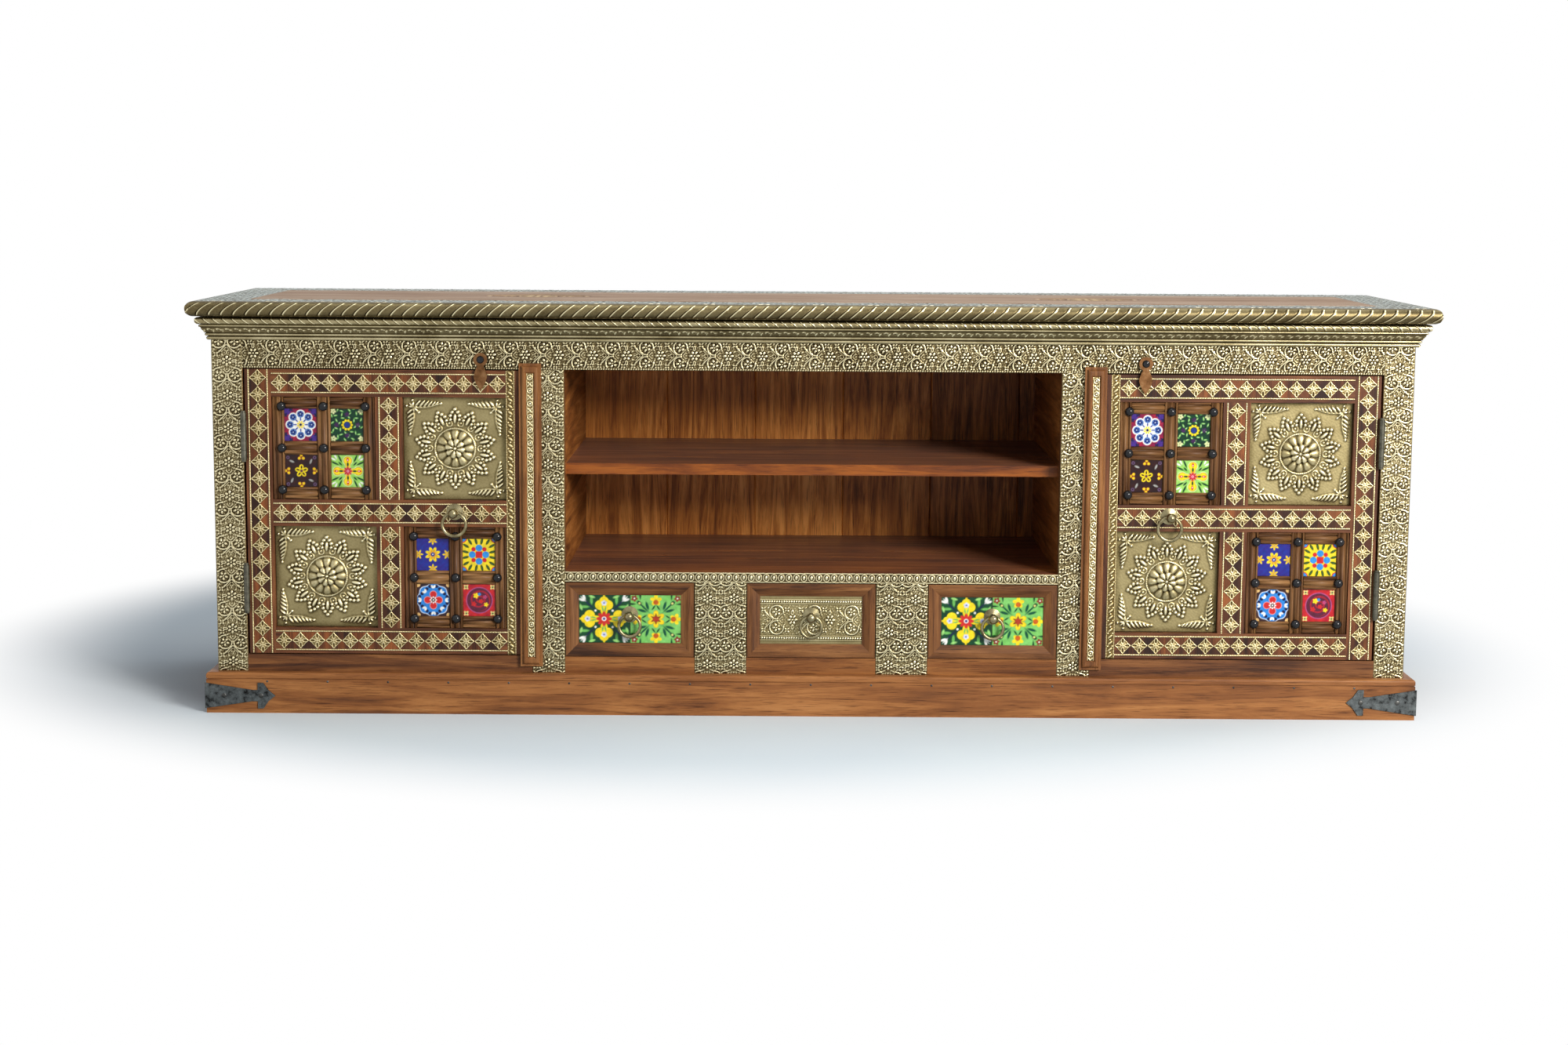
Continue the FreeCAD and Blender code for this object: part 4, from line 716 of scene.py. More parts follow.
def ribbon_pattern(u, v):
    """The ribbon on the free stile: leaves that lean left and right, a bead in each fork, beaded edges."""
    x, z = np.abs(u) - RIBBON_BAR, v % 19.0 - 9.5
    away, back = np.abs(z) - 4.75, np.sign(z) * x
    leaf = dome(np.hypot((0.64 * away + 0.77 * back) / 5.6, (0.77 * away - 0.64 * back) / 1.7), 1.0)
    vein = 0.35 * dome(0.77 * away - 0.64 * back, 0.45) * (leaf > 0.0)
    bead = np.maximum(dome(np.hypot(np.abs(x) - 3.4, z), 1.3), dome(np.hypot(x, np.abs(z) - 9.5), 1.3))
    return highest(leaf - vein, 0.9 * bead, 0.75 * bead_row(v, np.abs(x) - 5.6, 2.4, 1.0))


def inlay_pattern(u, v):
    """The strip sunk in the astragal: ringed dots and crosses by turns."""
    x, z = np.abs(u) - INLAY_BAR, centred(v, 19.0)
    radius, far = np.hypot(x, z), np.abs(z) - 9.5
    cross = np.minimum(np.abs(x - far), np.abs(x + far)) / DIAGONAL
    return highest(dome(radius, 1.7), dome(np.abs(radius - 3.3), 0.8), 0.6 * dome(np.abs(x) - 4.5, 0.7),
                   0.8 * dome(cross, 0.8) * (np.abs(far) < 3.4))


for name, side in SIDES.items():
    body, pieces = f"door_{name}", door_bands(name, side)
    ribbon, inlay = (sorted(side * x for x in span) for span in (RIBBON_X, INLAY_X))
    pieces.append(embossed(f"door_{name}_ribbon", ribbon, STILE_SPAN, 0.8, ribbon_pattern,
                           (DOOR_FACE, -193.3, -194.3), upright, body, band_brass, gain=0.9, level=0.24))
    pieces.append(embossed(f"door_{name}_inlay", inlay, INLAY_SPAN, 0.75, inlay_pattern,
                           (-203.1, -203.3, -204.3), upright, body, band_brass))
    for piece in pieces:
        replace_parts(piece, f"door_{name}_strips")


# The repousse panels: brass sheet hammered from behind over pitch. A double rosette in a roped ring,
# fourteen sprays of beads round it, and a pair of fern fronds in each corner.
def swell(distance, radius=1.0):
    """A fuller bump than the dome: the dome to the power of seven tenths."""
    return dome(distance, radius) ** 0.7


def blade(along, beside, length, width, turn):
    """A leaf that grows from the origin in the direction of turn: a swollen dome over an ellipse."""
    run = along * np.cos(turn) + beside * np.sin(turn) - 0.5 * length
    off = beside * np.cos(turn) - along * np.sin(turn)
    return swell(np.hypot(run / (0.54 * length), off / width))


def fern_stem(far):
    """How far a fern's stem runs from the nearer edge: a bow over forty millimetres of the other one."""
    share = unit((far - 13.0) / 40.0)
    return 13.5 + 15.0 * share * (1.0 - share) - 4.0 * share


def repousse(x, z):
    """Millimetres of rise over the ground of one panel, from its middle."""
    radius = np.hypot(x, z)
    crown = 2.4 * dome(radius, 28.0)
    along, beside = fold(x, z, 12)
    outer = 2.2 * swell(np.hypot((along - 19.5) / 9.4, beside / (0.6 + 0.235 * along)))
    along, beside = fold(x, z, 8, 0.2)
    inner = 1.6 + 2.2 * swell(np.hypot((along - 8.4) / 6.6, beside / (0.5 + 0.36 * along)))
    rosette = np.where((radius < 15.0) & (inner > 1.7), inner, outer) + crown
    rosette = np.maximum(rosette, crown + 3.6 * dome(radius, 3.4))
    rope = 1.6 * dome(radius - 29.2, 1.5) * (0.9 + 0.1 * np.sin(np.arctan2(z, x) * 60.0))
    layers = [np.where(radius < 28.0, rosette, rope)]
    along, beside = fold(x, z, 14, np.pi / 14.0)
    layers.append(2.4 * swell(np.hypot((along - 43.6) / 7.4, beside / 2.9)))
    for place, away, size in ((57.2, 0.0, 3.1), (52.8, 4.0, 3.0), (47.8, 6.6, 3.0), (42.0, 6.4, 2.6)):
        layers.append(2.2 * swell(np.hypot(along - place, np.abs(beside) - away), size))
    along, beside = fold(x, z, 14)
    side = np.abs(beside)
    hook = np.where(along < 36.6, np.abs(np.hypot(along - 36.6, beside) - 4.0), np.abs(side - 4.0))
    layers.append(1.2 * dome(hook, 0.85) * (along < 39.8) * (along > 31.0))
    for place, away, size in ((37.6, 0.0, 1.8), (41.4, 2.1, 1.8), (45.2, 0.0, 1.9)):
        layers.append(1.4 * dome(np.hypot(along - place, side - away), size))
    aside, above = PANEL_HALF - np.abs(x), PANEL_HALF - np.abs(z)
    near, far = np.minimum(aside, above), np.maximum(aside, above)
    layers.append(1.3 * dome(near - fern_stem(far), 0.9) * (far > 13.0) * (far < 53.0))
    for place, length in ((17.0, 12.5), (23.0, 13.5), (29.0, 13.0), (35.0, 11.5), (41.0, 9.5), (46.5, 7.0)):
        layers.append(2.0 * blade(far - place, near - fern_stem(place), length, 0.14 * length + 0.4, -0.9))
    for turn, length in ((0.79, 10.0), (0.15, 8.5), (1.42, 8.5), (-2.36, 9.0), (-1.65, 7.5), (-3.06, 7.5)):
        layers.append(1.8 * blade(aside - 14.5, above - 14.5, length, 1.6, turn))
    for a, b in ((54.5, 9.4), (22.5, 22.5), (13.0, 4.6)):
        layers.append(1.6 * dome(np.hypot(far - a, near - b), 2.1))
    return highest(*layers) + 0.05 * ripple(x, z, 1.1)


def panels(side, kind):
    """The upper and the lower panel of one kind on one door: (row, middle x, middle z).

    The tiled ones stand at the upper left and the lower right, the brass ones in the other two quarters.
    """
    columns = sorted(side * column for column in PANEL_COLUMNS)
    return [("upper", columns[kind], UPPER_ROW), ("lower", columns[1 - kind], LOWER_ROW)]


TILED, BRASS = 0, 1
PANEL_COLUMNS, UPPER_ROW, LOWER_ROW = (519.5, 709.0), 388.5, 199.5
PANEL_HALF, PANEL_DEPTHS = 74.8, (-183.2, -183.7, -184.7)
PANEL_BRASS = [(0.26, (0.026, 0.018, 0.007)), (0.50, (0.150, 0.118, 0.051)), (0.74, (0.330, 0.275, 0.137)),
               (1.05, (0.780, 0.710, 0.460))]
panel_brass = brass("panel_brass", 15.1, PANEL_BRASS)
for name, side in SIDES.items():
    for row, x, z in panels(side, BRASS):
        spans = [(middle - PANEL_HALF, middle + PANEL_HALF) for middle in (x, z)]
        # Each panel's margin is darkened over nine millimetres: tarnish, and painted shade from the frame
        # round the sunk sheet.
        piece = embossed(f"door_{name}_{row}_repousse", *spans, 0.85, lambda u, v: repousse(u - x, v - z),
                         PANEL_DEPTHS, upright, f"door_{name}", panel_brass, gain=0.34, level=0.40, reach=3,
                         worn=9.0)
        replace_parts(piece, f"door_{name}_brass_panels")

# The lattices over the tiles: bars of one moulding, a broad round between two narrow ones, butted at the
# crossings under the dome nails. Brown wood.
BAR_WOOD = [(0.38, (0.032, 0.013, 0.005)), (0.47, (0.096, 0.040, 0.014)), (0.56, (0.176, 0.082, 0.028)),
            (0.68, (0.310, 0.162, 0.062))]
bar_wood = wood("bar_wood", Z, BAR_WOOD, 36.6)
cross_wood = wood("cross_wood", X, BAR_WOOD, 39.2)
LATTICE_BACK, LATTICE_FRONT, LATTICE_HALF = -183.2, -192.2, 74.8
OUTER_BAR, MIDDLE_BAR = 17.55, 19.95


def ribbed(width):
    """Half-round ribs across a bar: narrow, broad, narrow, with cuts between; (across, depth) points."""
    points = [[0.0, LATTICE_BACK]]
    for start, end, rise in ((0.0, 0.24, 2.4), (0.29, 0.71, 3.0), (0.76, 1.0, 2.4)):
        share = np.linspace(0.0, 1.0, 7)
        across = start + (end - start) * share
        top = LATTICE_FRONT + (3.0 - rise) * 0.5
        points += np.stack([across * width, top + rise * (2.0 * share - 1.0) ** 2], axis=-1).tolist()
    return np.array(points + [[width, LATTICE_BACK]])


def bar(x0, x1, z0, z1):
    """A straight bar: its ribs carried along the longer side, both ends closed on their middle."""
    level = x1 - x0 > z1 - z0
    profile = ribbed(z1 - z0 if level else x1 - x0)
    rows = np.repeat(np.concatenate([profile, profile[:1]])[:, None, :], 4, axis=1)
    rows[:, [0, 3]] = profile.mean(axis=0)
    run = np.repeat((x0, x1) if level else (z1, z0), 2)
    return laid(level, run, rows[..., 1], (z0 if level else x0) + rows[..., 0])


def thirds(middle):
    """The two edges of each of the three bars that lie side by side about a middle."""
    low, high, half = middle - LATTICE_HALF, middle + LATTICE_HALF, MIDDLE_BAR / 2.0
    return (low, low + OUTER_BAR), (middle - half, middle + half), (high - OUTER_BAR, high)


for name, side in SIDES.items():
    uprights, levels = [], []
    for _, x, z in panels(side, TILED):
        columns = thirds(x)
        uprights += [bar(a, b, z - LATTICE_HALF, z + LATTICE_HALF) for a, b in columns]
        for (_, a), (b, _) in zip(columns, columns[1:]):
            levels += [bar(a, b, c, d) for c, d in thirds(z)]
    for part, grids, skin in (("uprights", uprights, bar_wood), ("levels", levels, cross_wood)):
        piece = surface(f"door_{name}_lattice_{part}", grids, f"door_{name}", skin)
        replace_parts(piece, f"door_{name}_lattices")

# The dome nails on the crossings: forged iron, enamelled a deep glossy black,
# driven through the lattice into the panel behind it.
nail_black, tree, shader = material("nail_black")
worn = noise(tree, step(tree, "TexCoord").outputs["Object"], 260.0, 3.3, detail=4.0)
fill(tree, shader, {
    "Base Color": ramp(tree, worn, [(0.35, (0.004, 0.004, 0.005)), (0.75, (0.014, 0.015, 0.018))]),
    "Roughness": ranged(tree, worn, 0.3, 0.8, 0.05, 0.16),
    "Specular IOR Level": 0.30,
})
NAIL_RADIUS, NAIL_RISE, NAIL_STEP = 6.75, 6.0, 60.8


def caps(centres, front, radius, rise, rings=10, sides=28):
    """Domed heads that face the front: a quarter ellipse turned about Y, one grid to each centre (x, z)."""
    turns, lifts = np.linspace(0.0, -2.0 * np.pi, sides + 1), np.linspace(0.0, np.pi / 2.0, rings)
    angle, lift = np.meshgrid(turns, lifts)
    reach = radius * np.cos(lift)
    grid = np.stack([reach * np.cos(angle), front - rise * np.sin(lift), reach * np.sin(angle)], axis=-1)
    shift = np.stack([[x, 0.0, z] for x, z in centres])
    return grid[:, ::-1][None] + shift[:, None, None, :]


for name, side in SIDES.items():
    spots = [(x + a * NAIL_STEP, z + b * NAIL_STEP)
             for _, x, z in panels(side, TILED) for a in (-1, 0, 1) for b in (-1, 0, 1)]
    heads = caps(spots, LATTICE_FRONT, NAIL_RADIUS, NAIL_RISE)
    piece = surface(f"door_{name}_nails", [heads], f"door_{name}", nail_black)
    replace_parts(piece, f"door_{name}_clavos")


# The small tiles of the doors: slip-painted earthenware under a clear glaze, eight designs on each door.
# Every design is laid over the one before with soft-edged covers, as a brush would.
def over(picture, cover, colour):
    """Lay one colour over a picture where the cover is one."""
    return picture + (np.array(colour) - picture) * unit(cover)[..., None]


def inside(distance, soft=0.035):
    """Cover that is one where the distance is below nought, with a soft edge."""
    return unit(0.5 - distance / soft)


def disc(radius):
    """Cover of a round spot."""
    return lambda x, z: inside(np.hypot(x, z) - radius)


def oval(length, width, turn=0.0):
    """Cover of an ellipse turned by an angle."""
    def cover(x, z):
        a, b = x * np.cos(turn) + z * np.sin(turn), z * np.cos(turn) - x * np.sin(turn)
        return inside((np.hypot(a / length, b / width) - 1.0) * min(length, width))

    return cover


def petals(count, middle, length, width, turn=0.0):
    """Cover of a ring of oval petals at a distance from the middle."""
    def cover(x, z):
        along, beside = fold(x, z, count, turn)
        return oval(length, width)(along - middle, beside)

    return cover


def square(half):
    """Cover of a square."""
    return lambda x, z: inside(np.maximum(np.abs(x), np.abs(z)) - half)


def scallops(inset):
    """Cover of a round field with eight scallops, drawn in by an inset."""
    def cover(x, z):
        angle = np.arctan2(z, x)
        edge = 0.97 + 0.06 * np.cos(8.0 * angle) + 0.05 * np.abs(np.cos(2.0 * angle))
        return inside(np.hypot(x, z) - edge + inset)

    return cover


def spiral(x, z):
    """Cover of a spiral band: how near the radius plus the angle, both in turns, come to a whole number."""
    radius = np.hypot(x, z)
    band = np.abs(centred(radius * 3.2 + np.arctan2(z, x) / (2.0 * np.pi), 1.0)) - 0.16
    return inside(band, 0.12) * inside(radius - 0.66)


def joined(*parts):
    """Several covers as one, each moved (along, beside)."""
    return lambda x, z: highest(*(cover(x - along, z - beside) for along, beside, cover in parts))


def painted(x, z, design):
    """Colours of a design over a tile that runs from minus one to one each way.

    The ground clouds from one colour to another. Every row then lays a cover in each sector of a fold, at a
    distance along the sector's middle line, or at (along, beside) on both sides of that line.
    """
    colour, other, size, *rows = design
    clouds = 0.5 + 0.5 * ripple(x * 20.0, z * 20.0, size)
    picture = over(np.broadcast_to(colour, (*x.shape, 3)), clouds, other)
    for (count, turn), place, cover, colour in rows:
        along, beside = fold(x, z, count, turn) if count else (x, z)
        if isinstance(place, tuple):
            beside = (np.abs(beside) if count else beside) - place[1]
            place = place[0]
        picture = over(picture, cover(along - place, beside), colour)
    return picture


WHITE, YELLOW, GOLD, RED = (0.90, 0.90, 0.86), (0.93, 0.74, 0.03), (0.80, 0.40, 0.03), (0.66, 0.04, 0.045)
NAVY, BLUE, SKY, VIOLET = (0.012, 0.022, 0.11), (0.03, 0.06, 0.36), (0.06, 0.34, 0.74), (0.10, 0.045, 0.30)
GREEN, LEAF, LIME, PLUM = (0.008, 0.085, 0.035), (0.22, 0.55, 0.16), (0.34, 0.66, 0.14), (0.062, 0.016, 0.016)
WHOLE, CROSS, CORNERS, EIGHTHS = (0, 0.0), (4, 0.0), (4, np.pi / 4.0), (8, 0.0)
UP, HALF_SIXTH, HALF_EIGHTH = -np.pi / 2.0, np.pi / 6.0, np.pi / 8.0
FAR_CORNER, NEAR_CORNER = 1.0 * 2.0 ** 0.5, 0.92 * 2.0 ** 0.5
# Red and violet, with a white medallion of eight lobes round blue flowers.
MEDALLION = (
    (0.50, 0.03, 0.06), (0.28, 0.02, 0.10), 3.0,
    (CORNERS, 1.22, disc(0.30), VIOLET),
    (CORNERS, (1.04, 0.24), petals(4, 0.07, 0.07, 0.05), NAVY),
    (EIGHTHS, 0.0, joined((0.62, 0.0, disc(0.275)), (0.0, 0.0, disc(0.55))), WHITE),
    (EIGHTHS, 0.62, disc(0.205), (0.16, 0.30, 0.60)),
    (EIGHTHS, 0.64, petals(5, 0.085, 0.085, 0.062), (0.016, 0.035, 0.22)),
    (EIGHTHS, 0.64, disc(0.04), (0.50, 0.62, 0.80)),
    (EIGHTHS, 0.33, oval(0.10, 0.04), BLUE),
    (WHOLE, 0.0, petals(8, 0.16, 0.08, 0.05, HALF_EIGHTH), YELLOW),
    (WHOLE, 0.0, disc(0.08), NAVY),
)
# Dark green, strewn with pale leaves round a yellow ring with a blue middle.
LEAFY = [GREEN, (0.010, 0.045, 0.036), 2.0]
for far, lean, sectors in ((0.48, 0.9, (8, 0.2)), (0.68, -0.7, (9, 0.05)), (0.88, 0.8, (12, 0.15)),
                           (1.06, -0.8, (13, 0.3)), (1.26, 0.6, (16, 0.1))):
    LEAFY.append((sectors, far, oval(0.115, 0.045, lean), LEAF))
    LEAFY.append((sectors, far, joined((0.01, -0.012, oval(0.06, 0.022, lean))), (0.62, 0.80, 0.40)))
LEAFY += [
    (CROSS, 0.62, petals(5, 0.08, 0.07, 0.05), (0.10, 0.03, 0.14)),
    (CORNERS, 1.15, petals(5, 0.10, 0.08, 0.06), (0.75, 0.78, 0.45)),
    (WHOLE, 0.0, petals(10, 0.25, 0.09, 0.075), YELLOW),
    (WHOLE, 0.0, disc(0.20), (0.02, 0.10, 0.05)),
    (WHOLE, 0.0, petals(8, 0.10, 0.09, 0.04), BLUE),
]
# Aubergine brown, one yellow flower of five petals and a smaller one at each side.
AUBERGINE = (
    PLUM, (0.034, 0.013, 0.018), 2.4,
    (CORNERS, 0.80, oval(0.15, 0.06, 0.4), (0.42, 0.42, 0.40)),
    (CORNERS, 1.12, disc(0.10), (0.20, 0.13, 0.24)),
    (CORNERS, 1.12, disc(0.05), PLUM),
    (CROSS, 0.82, petals(3, 0.12, 0.11, 0.09), GOLD),
    (CROSS, 0.82, petals(3, 0.13, 0.07, 0.055), YELLOW),
    (CROSS, 0.80, disc(0.06), (0.35, 0.12, 0.02)),
    (WHOLE, 0.0, petals(5, 0.23, 0.16, 0.13, UP), YELLOW),
    (WHOLE, 0.0, petals(5, 0.22, 0.10, 0.05, UP), PLUM),
    (WHOLE, 0.0, disc(0.07), (0.16, 0.04, 0.10)),
)
# Light green, a yellow quatrefoil with a red star, dark green leaves towards the corners.
QUATREFOIL = [
    LIME, (0.44, 0.72, 0.22), 3.0,
    (CORNERS, (0.86, 0.20), oval(0.24, 0.055, 0.35), GREEN),
    (CORNERS, 0.62, oval(0.14, 0.05), GREEN),
    (CORNERS, (1.12, 0.10), oval(0.16, 0.05, 0.3), WHITE),
]
for size, colour in ((0.30, (0.70, 0.86, 0.40)), (0.25, (0.55, 0.20, 0.02)), (0.225, YELLOW)):
    lobe = joined((0.62, 0.0, disc(size)), (0.42, 0.0, oval(size * 1.1, size * 0.62)))
    QUATREFOIL.append((CROSS, 0.0, lobe, colour))
QUATREFOIL += [
    (CROSS, 0.40, oval(0.13, 0.06), GREEN),
    (CROSS, 0.68, oval(0.12, 0.07), RED),
    (CROSS, 0.66, disc(0.035), WHITE),
    (WHOLE, 0.0, petals(8, 0.15, 0.13, 0.06), (0.62, 0.03, 0.08)),
    (WHOLE, 0.0, disc(0.075), (0.85, 0.45, 0.55)),
    (WHOLE, 0.0, disc(0.03), RED),
]
# Royal blue, one yellow daisy and half a daisy at each side.
DAISY = (
    BLUE, (0.055, 0.035, 0.30), 2.0,
    (CROSS, 0.86, petals(6, 0.15, 0.13, 0.055), YELLOW),
    (CROSS, 0.86, petals(6, 0.12, 0.06, 0.03), GOLD),
    (WHOLE, 0.0, petals(8, 0.28, 0.18, 0.095, HALF_EIGHTH), YELLOW),
    (WHOLE, 0.0, petals(8, 0.20, 0.11, 0.05, HALF_EIGHTH), GOLD),
    (WHOLE, 0.0, disc(0.12), BLUE),
    (WHOLE, 0.0, disc(0.04), WHITE),
)
# Yellow, four blue petals round a red square, dark leaves in pairs all round, blue corners.
SUNNY = (
    YELLOW, (0.84, 0.70, 0.06), 3.0,
    (CROSS, (0.80, 0.17), oval(0.20, 0.075, 0.25), (0.02, 0.07, 0.02)),
    (CROSS, (0.80, 0.17), oval(0.10, 0.022, 0.25), (0.12, 0.25, 0.06)),
    (CORNERS, (0.92, 0.17), oval(0.20, 0.075, 0.25), (0.02, 0.07, 0.02)),
    (CORNERS, (0.92, 0.17), oval(0.10, 0.022, 0.25), (0.12, 0.25, 0.06)),
    (CORNERS, FAR_CORNER, disc(0.30), RED),
    (CORNERS, FAR_CORNER, disc(0.24), SKY),
    (CORNERS, 0.46, disc(0.13), RED),
    (CROSS, 0.40, disc(0.205), SKY),
    (WHOLE, 0.0, square(0.20), RED),
)
# Sky blue on brown, a red quatrefoil with a dotted middle, white hearts and navy drops in its scallops.
HEART = (
    (0.10, 0.04, 0.03), (0.05, 0.03, 0.05), 2.5,
    (CORNERS, NEAR_CORNER, disc(0.15), (0.80, 0.55, 0.25)),
    (WHOLE, 0.0, scallops(0.0), (0.65, 0.72, 0.85)),
    (WHOLE, 0.0, scallops(0.05), (0.05, 0.30, 0.72)),
    (CROSS, (0.82, 0.20), disc(0.10), NAVY),
    (CROSS, (0.80, 0.06), oval(0.11, 0.065, 0.5), WHITE),
    (CORNERS, (0.74, 0.20), disc(0.10), NAVY),
    (CORNERS, (0.72, 0.06), oval(0.11, 0.065, 0.5), WHITE),
    (CROSS, 0.34, disc(0.22), (0.85, 0.40, 0.36)),
    (CROSS, 0.34, disc(0.185), RED),
    (WHOLE, 0.0, disc(0.24), RED),
    (WHOLE, 0.0, petals(8, 0.16, 0.06, 0.045), WHITE),
    (WHOLE, 0.0, disc(0.11), (0.02, 0.02, 0.02)),
    (WHOLE, 0.0, disc(0.05), WHITE),
)
# Red, a dark round field ringed in pink with a scrolling spray, yellow flowers in the corners.
SCROLL = [
    RED, (0.46, 0.02, 0.05), 2.2,
    (CORNERS, 1.12, petals(4, 0.09, 0.085, 0.06), (0.80, 0.72, 0.30)),
    (CORNERS, 1.12, disc(0.05), GREEN),
    (WHOLE, 0.0, disc(0.80), (0.50, 0.12, 0.28)),
    (WHOLE, 0.0, disc(0.74), (0.16, 0.03, 0.07)),
    (WHOLE, 0.0, spiral, (0.45, 0.03, 0.06)),
]
for place, colour, size in (
    ((-0.20, 0.28), YELLOW, 0.15), ((0.40, -0.26), YELLOW, 0.12), ((0.0, 0.36), SKY, 0.09),
    ((0.10, -0.06), RED, 0.13), ((-0.34, -0.22), RED, 0.14), ((0.34, 0.20), (0.55, 0.10, 0.25), 0.11),
):
    SCROLL.append((WHOLE, place, petals(5, size * 0.6, size * 0.55, size * 0.42), colour))
glaze, tree, shader = material("glaze")
paint = step(tree, "Attribute", attribute_name="paint").outputs["Color"]
pooled = noise(tree, step(tree, "TexCoord").outputs["Object"], 160.0, 8.8, detail=4.0)
shade = ramp(tree, pooled, [(0.30, (0.66, 0.66, 0.66)), (0.60, (0.90, 0.90, 0.90))])
fill(tree, shader, {
    "Base Color": step(tree, "MixRGB", {0: 1.0, 1: paint, 2: shade}, blend_type="MULTIPLY").outputs[0],
    "Normal": bumped(tree, 0.10, 0.0008, pooled),
    "Roughness": 0.22,
    "Specular IOR Level": 0.22,
    "Coat Weight": 0.10,
    "Coat Roughness": 0.05,
})
TILE_FRONT, TILE_BACK, TILE_CELL, STRENGTH = -188.2, -183.3, 0.66, 1.25
WINDOW_STEP, TILE_HALF = 33.7125, 23.7375 + 0.8
BARE_CLAY = (0.10, 0.08, 0.06)
TILES = {"upper": ((MEDALLION, LEAFY), (AUBERGINE, QUATREFOIL)), "lower": ((DAISY, SUNNY), (HEART, SCROLL))}


def tile(x, z, half_x, half_z, front, back, design):
    """One glazed tile: a grid whose edges round away, with its design's colours at every point."""
    u, v = (np.linspace(-1.0, 1.0, round(2.0 * half / TILE_CELL) + 1) for half in (half_x, half_z))
    u, v = np.meshgrid(u, v)
    brink = np.minimum((1.0 - np.abs(u)) * half_x, (1.0 - np.abs(v)) * half_z)
    depth = front + 0.5 * unit(1.0 - brink / 1.6) ** 2 + 0.03 * ripple(u * half_x, v * half_z, 4.0)
    colours = over(painted(u, v, design) ** STRENGTH, 0.55 * unit(1.0 - brink / 0.7), BARE_CLAY)
    depth = np.pad(depth, 1, constant_values=back)
    u, v = np.pad(u, 1, mode="edge"), np.pad(v, 1, mode="edge")
    colours = np.pad(colours, ((1, 1), (1, 1), (0, 0)), mode="edge")
    return np.stack([x + u * half_x, depth, z + v * half_z], axis=-1), colours


def lay_tiles(name, made, body, node):
    """Set a group of tiles in their wood as one mesh, in the place of a CAD node."""
    grids, colours = zip(*made)
    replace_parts(surface(name, grids, body, glaze, paint=colours), node)


for name, side in SIDES.items():
    for row, x, z in panels(side, TILED):
        made = []
        for line, pair in zip((1.0, -1.0), TILES[row]):
            for beside, design in zip((-1.0, 1.0), pair):
                made.append(tile(x + beside * WINDOW_STEP, z + line * WINDOW_STEP, TILE_HALF, TILE_HALF,
                                 TILE_FRONT, TILE_BACK, design))
        lay_tiles(f"door_{name}_{row}_tiles", made, f"door_{name}", f"door_{name}_tiles")


# The drawers: fronts framed in a bevelled moulding of the red wood, plain dovetailed boxes behind them.
# Left and right drawers hold two larger tiles, the middle one an embossed brass sheet.
DRAWER_STEP, DRAWER_MIDDLE = 265.3333, 139.5
FIELD_X, FIELD_Z, FIELD_FRONT, FIELD_BACK, JOINT = 75.8, 36.6, -188.0, -182.2, 0.2
FRAME_EXCESS = 0.093667 - 0.0545
# Dark green, four yellow lobed flowers in a cross round a red star, leaf pairs and white tulips outside.
TULIP = (
    (0.012, 0.12, 0.045), (0.008, 0.085, 0.04), 3.0,
    (CORNERS, 0.80, oval(0.30, 0.025), NAVY),
    (CORNERS, (0.88, 0.19), oval(0.17, 0.055, 0.75), LEAF),
    (CORNERS, (0.96, 0.30), oval(0.12, 0.05, -0.5), (0.40, 0.72, 0.26)),
    (CORNERS, (1.16, 0.07), oval(0.12, 0.05, 0.45), WHITE),
    (CORNERS, 1.14, oval(0.12, 0.03), WHITE),
    (CORNERS, 0.47, disc(0.045), WHITE),
    (CROSS, (0.0, 0.0), joined((0.56, 0.15, disc(0.20)), (0.72, 0.0, disc(0.18)),
                               (0.38, 0.0, oval(0.25, 0.14)), (0.84, 0.0, oval(0.13, 0.05))), YELLOW),
    (CROSS, (0.40, 0.05), oval(0.11, 0.03, 0.2), LEAF),
    (CROSS, 0.64, petals(5, 0.06, 0.055, 0.05), (0.70, 0.74, 0.88)),
    (CROSS, 0.64, disc(0.035), (0.20, 0.22, 0.55)),
    (WHOLE, 0.0, petals(8, 0.17, 0.13, 0.075), (0.66, 0.05, 0.04)),
    (WHOLE, 0.0, disc(0.09), WHITE),
    (WHOLE, 0.0, disc(0.05), VIOLET),
)
# Bright green, a yellow flower of six petals, bells at the sides, dark sprigs towards the corners.
MEADOW = (
    (0.25, 0.60, 0.17), (0.30, 0.66, 0.22), 3.0,
    (CORNERS, 0.66, oval(0.24, 0.035), (0.01, 0.13, 0.07)),
    (CORNERS, (0.62, 0.14), oval(0.17, 0.055, 0.5), (0.01, 0.13, 0.07)),
    (CORNERS, (0.92, 0.02), oval(0.10, 0.05), GREEN),
    (CORNERS, 0.90, disc(0.045), (0.80, 0.75, 0.30)),
    (CORNERS, (1.10, 0.24), oval(0.15, 0.035, 0.75), GREEN),
    (CORNERS, 1.18, petals(5, 0.07, 0.065, 0.05), (0.32, 0.07, 0.04)),
    (CORNERS, 1.18, disc(0.03), WHITE),
    (CROSS, (0.46, 0.09), oval(0.10, 0.03, -0.6), GREEN),
    (CROSS, 0.76, petals(5, 0.13, 0.10, 0.075), YELLOW),
    (CROSS, 0.68, disc(0.10), (0.62, 0.17, 0.02)),
    (WHOLE, 0.0, petals(6, 0.22, 0.135, 0.105, HALF_SIXTH), (0.62, 0.42, 0.02)),
    (WHOLE, 0.0, petals(6, 0.225, 0.115, 0.09, HALF_SIXTH), YELLOW),
    (WHOLE, 0.0, petals(6, 0.13, 0.08, 0.035, HALF_SIXTH), (0.30, 0.09, 0.02)),
    (WHOLE, 0.0, disc(0.12), (0.50, 0.08, 0.03)),
)
FRONT_WOOD = [(0.38, (0.032, 0.011, 0.004)), (0.47, (0.092, 0.033, 0.010)), (0.56, (0.162, 0.063, 0.019)),
              (0.68, (0.270, 0.118, 0.040))]
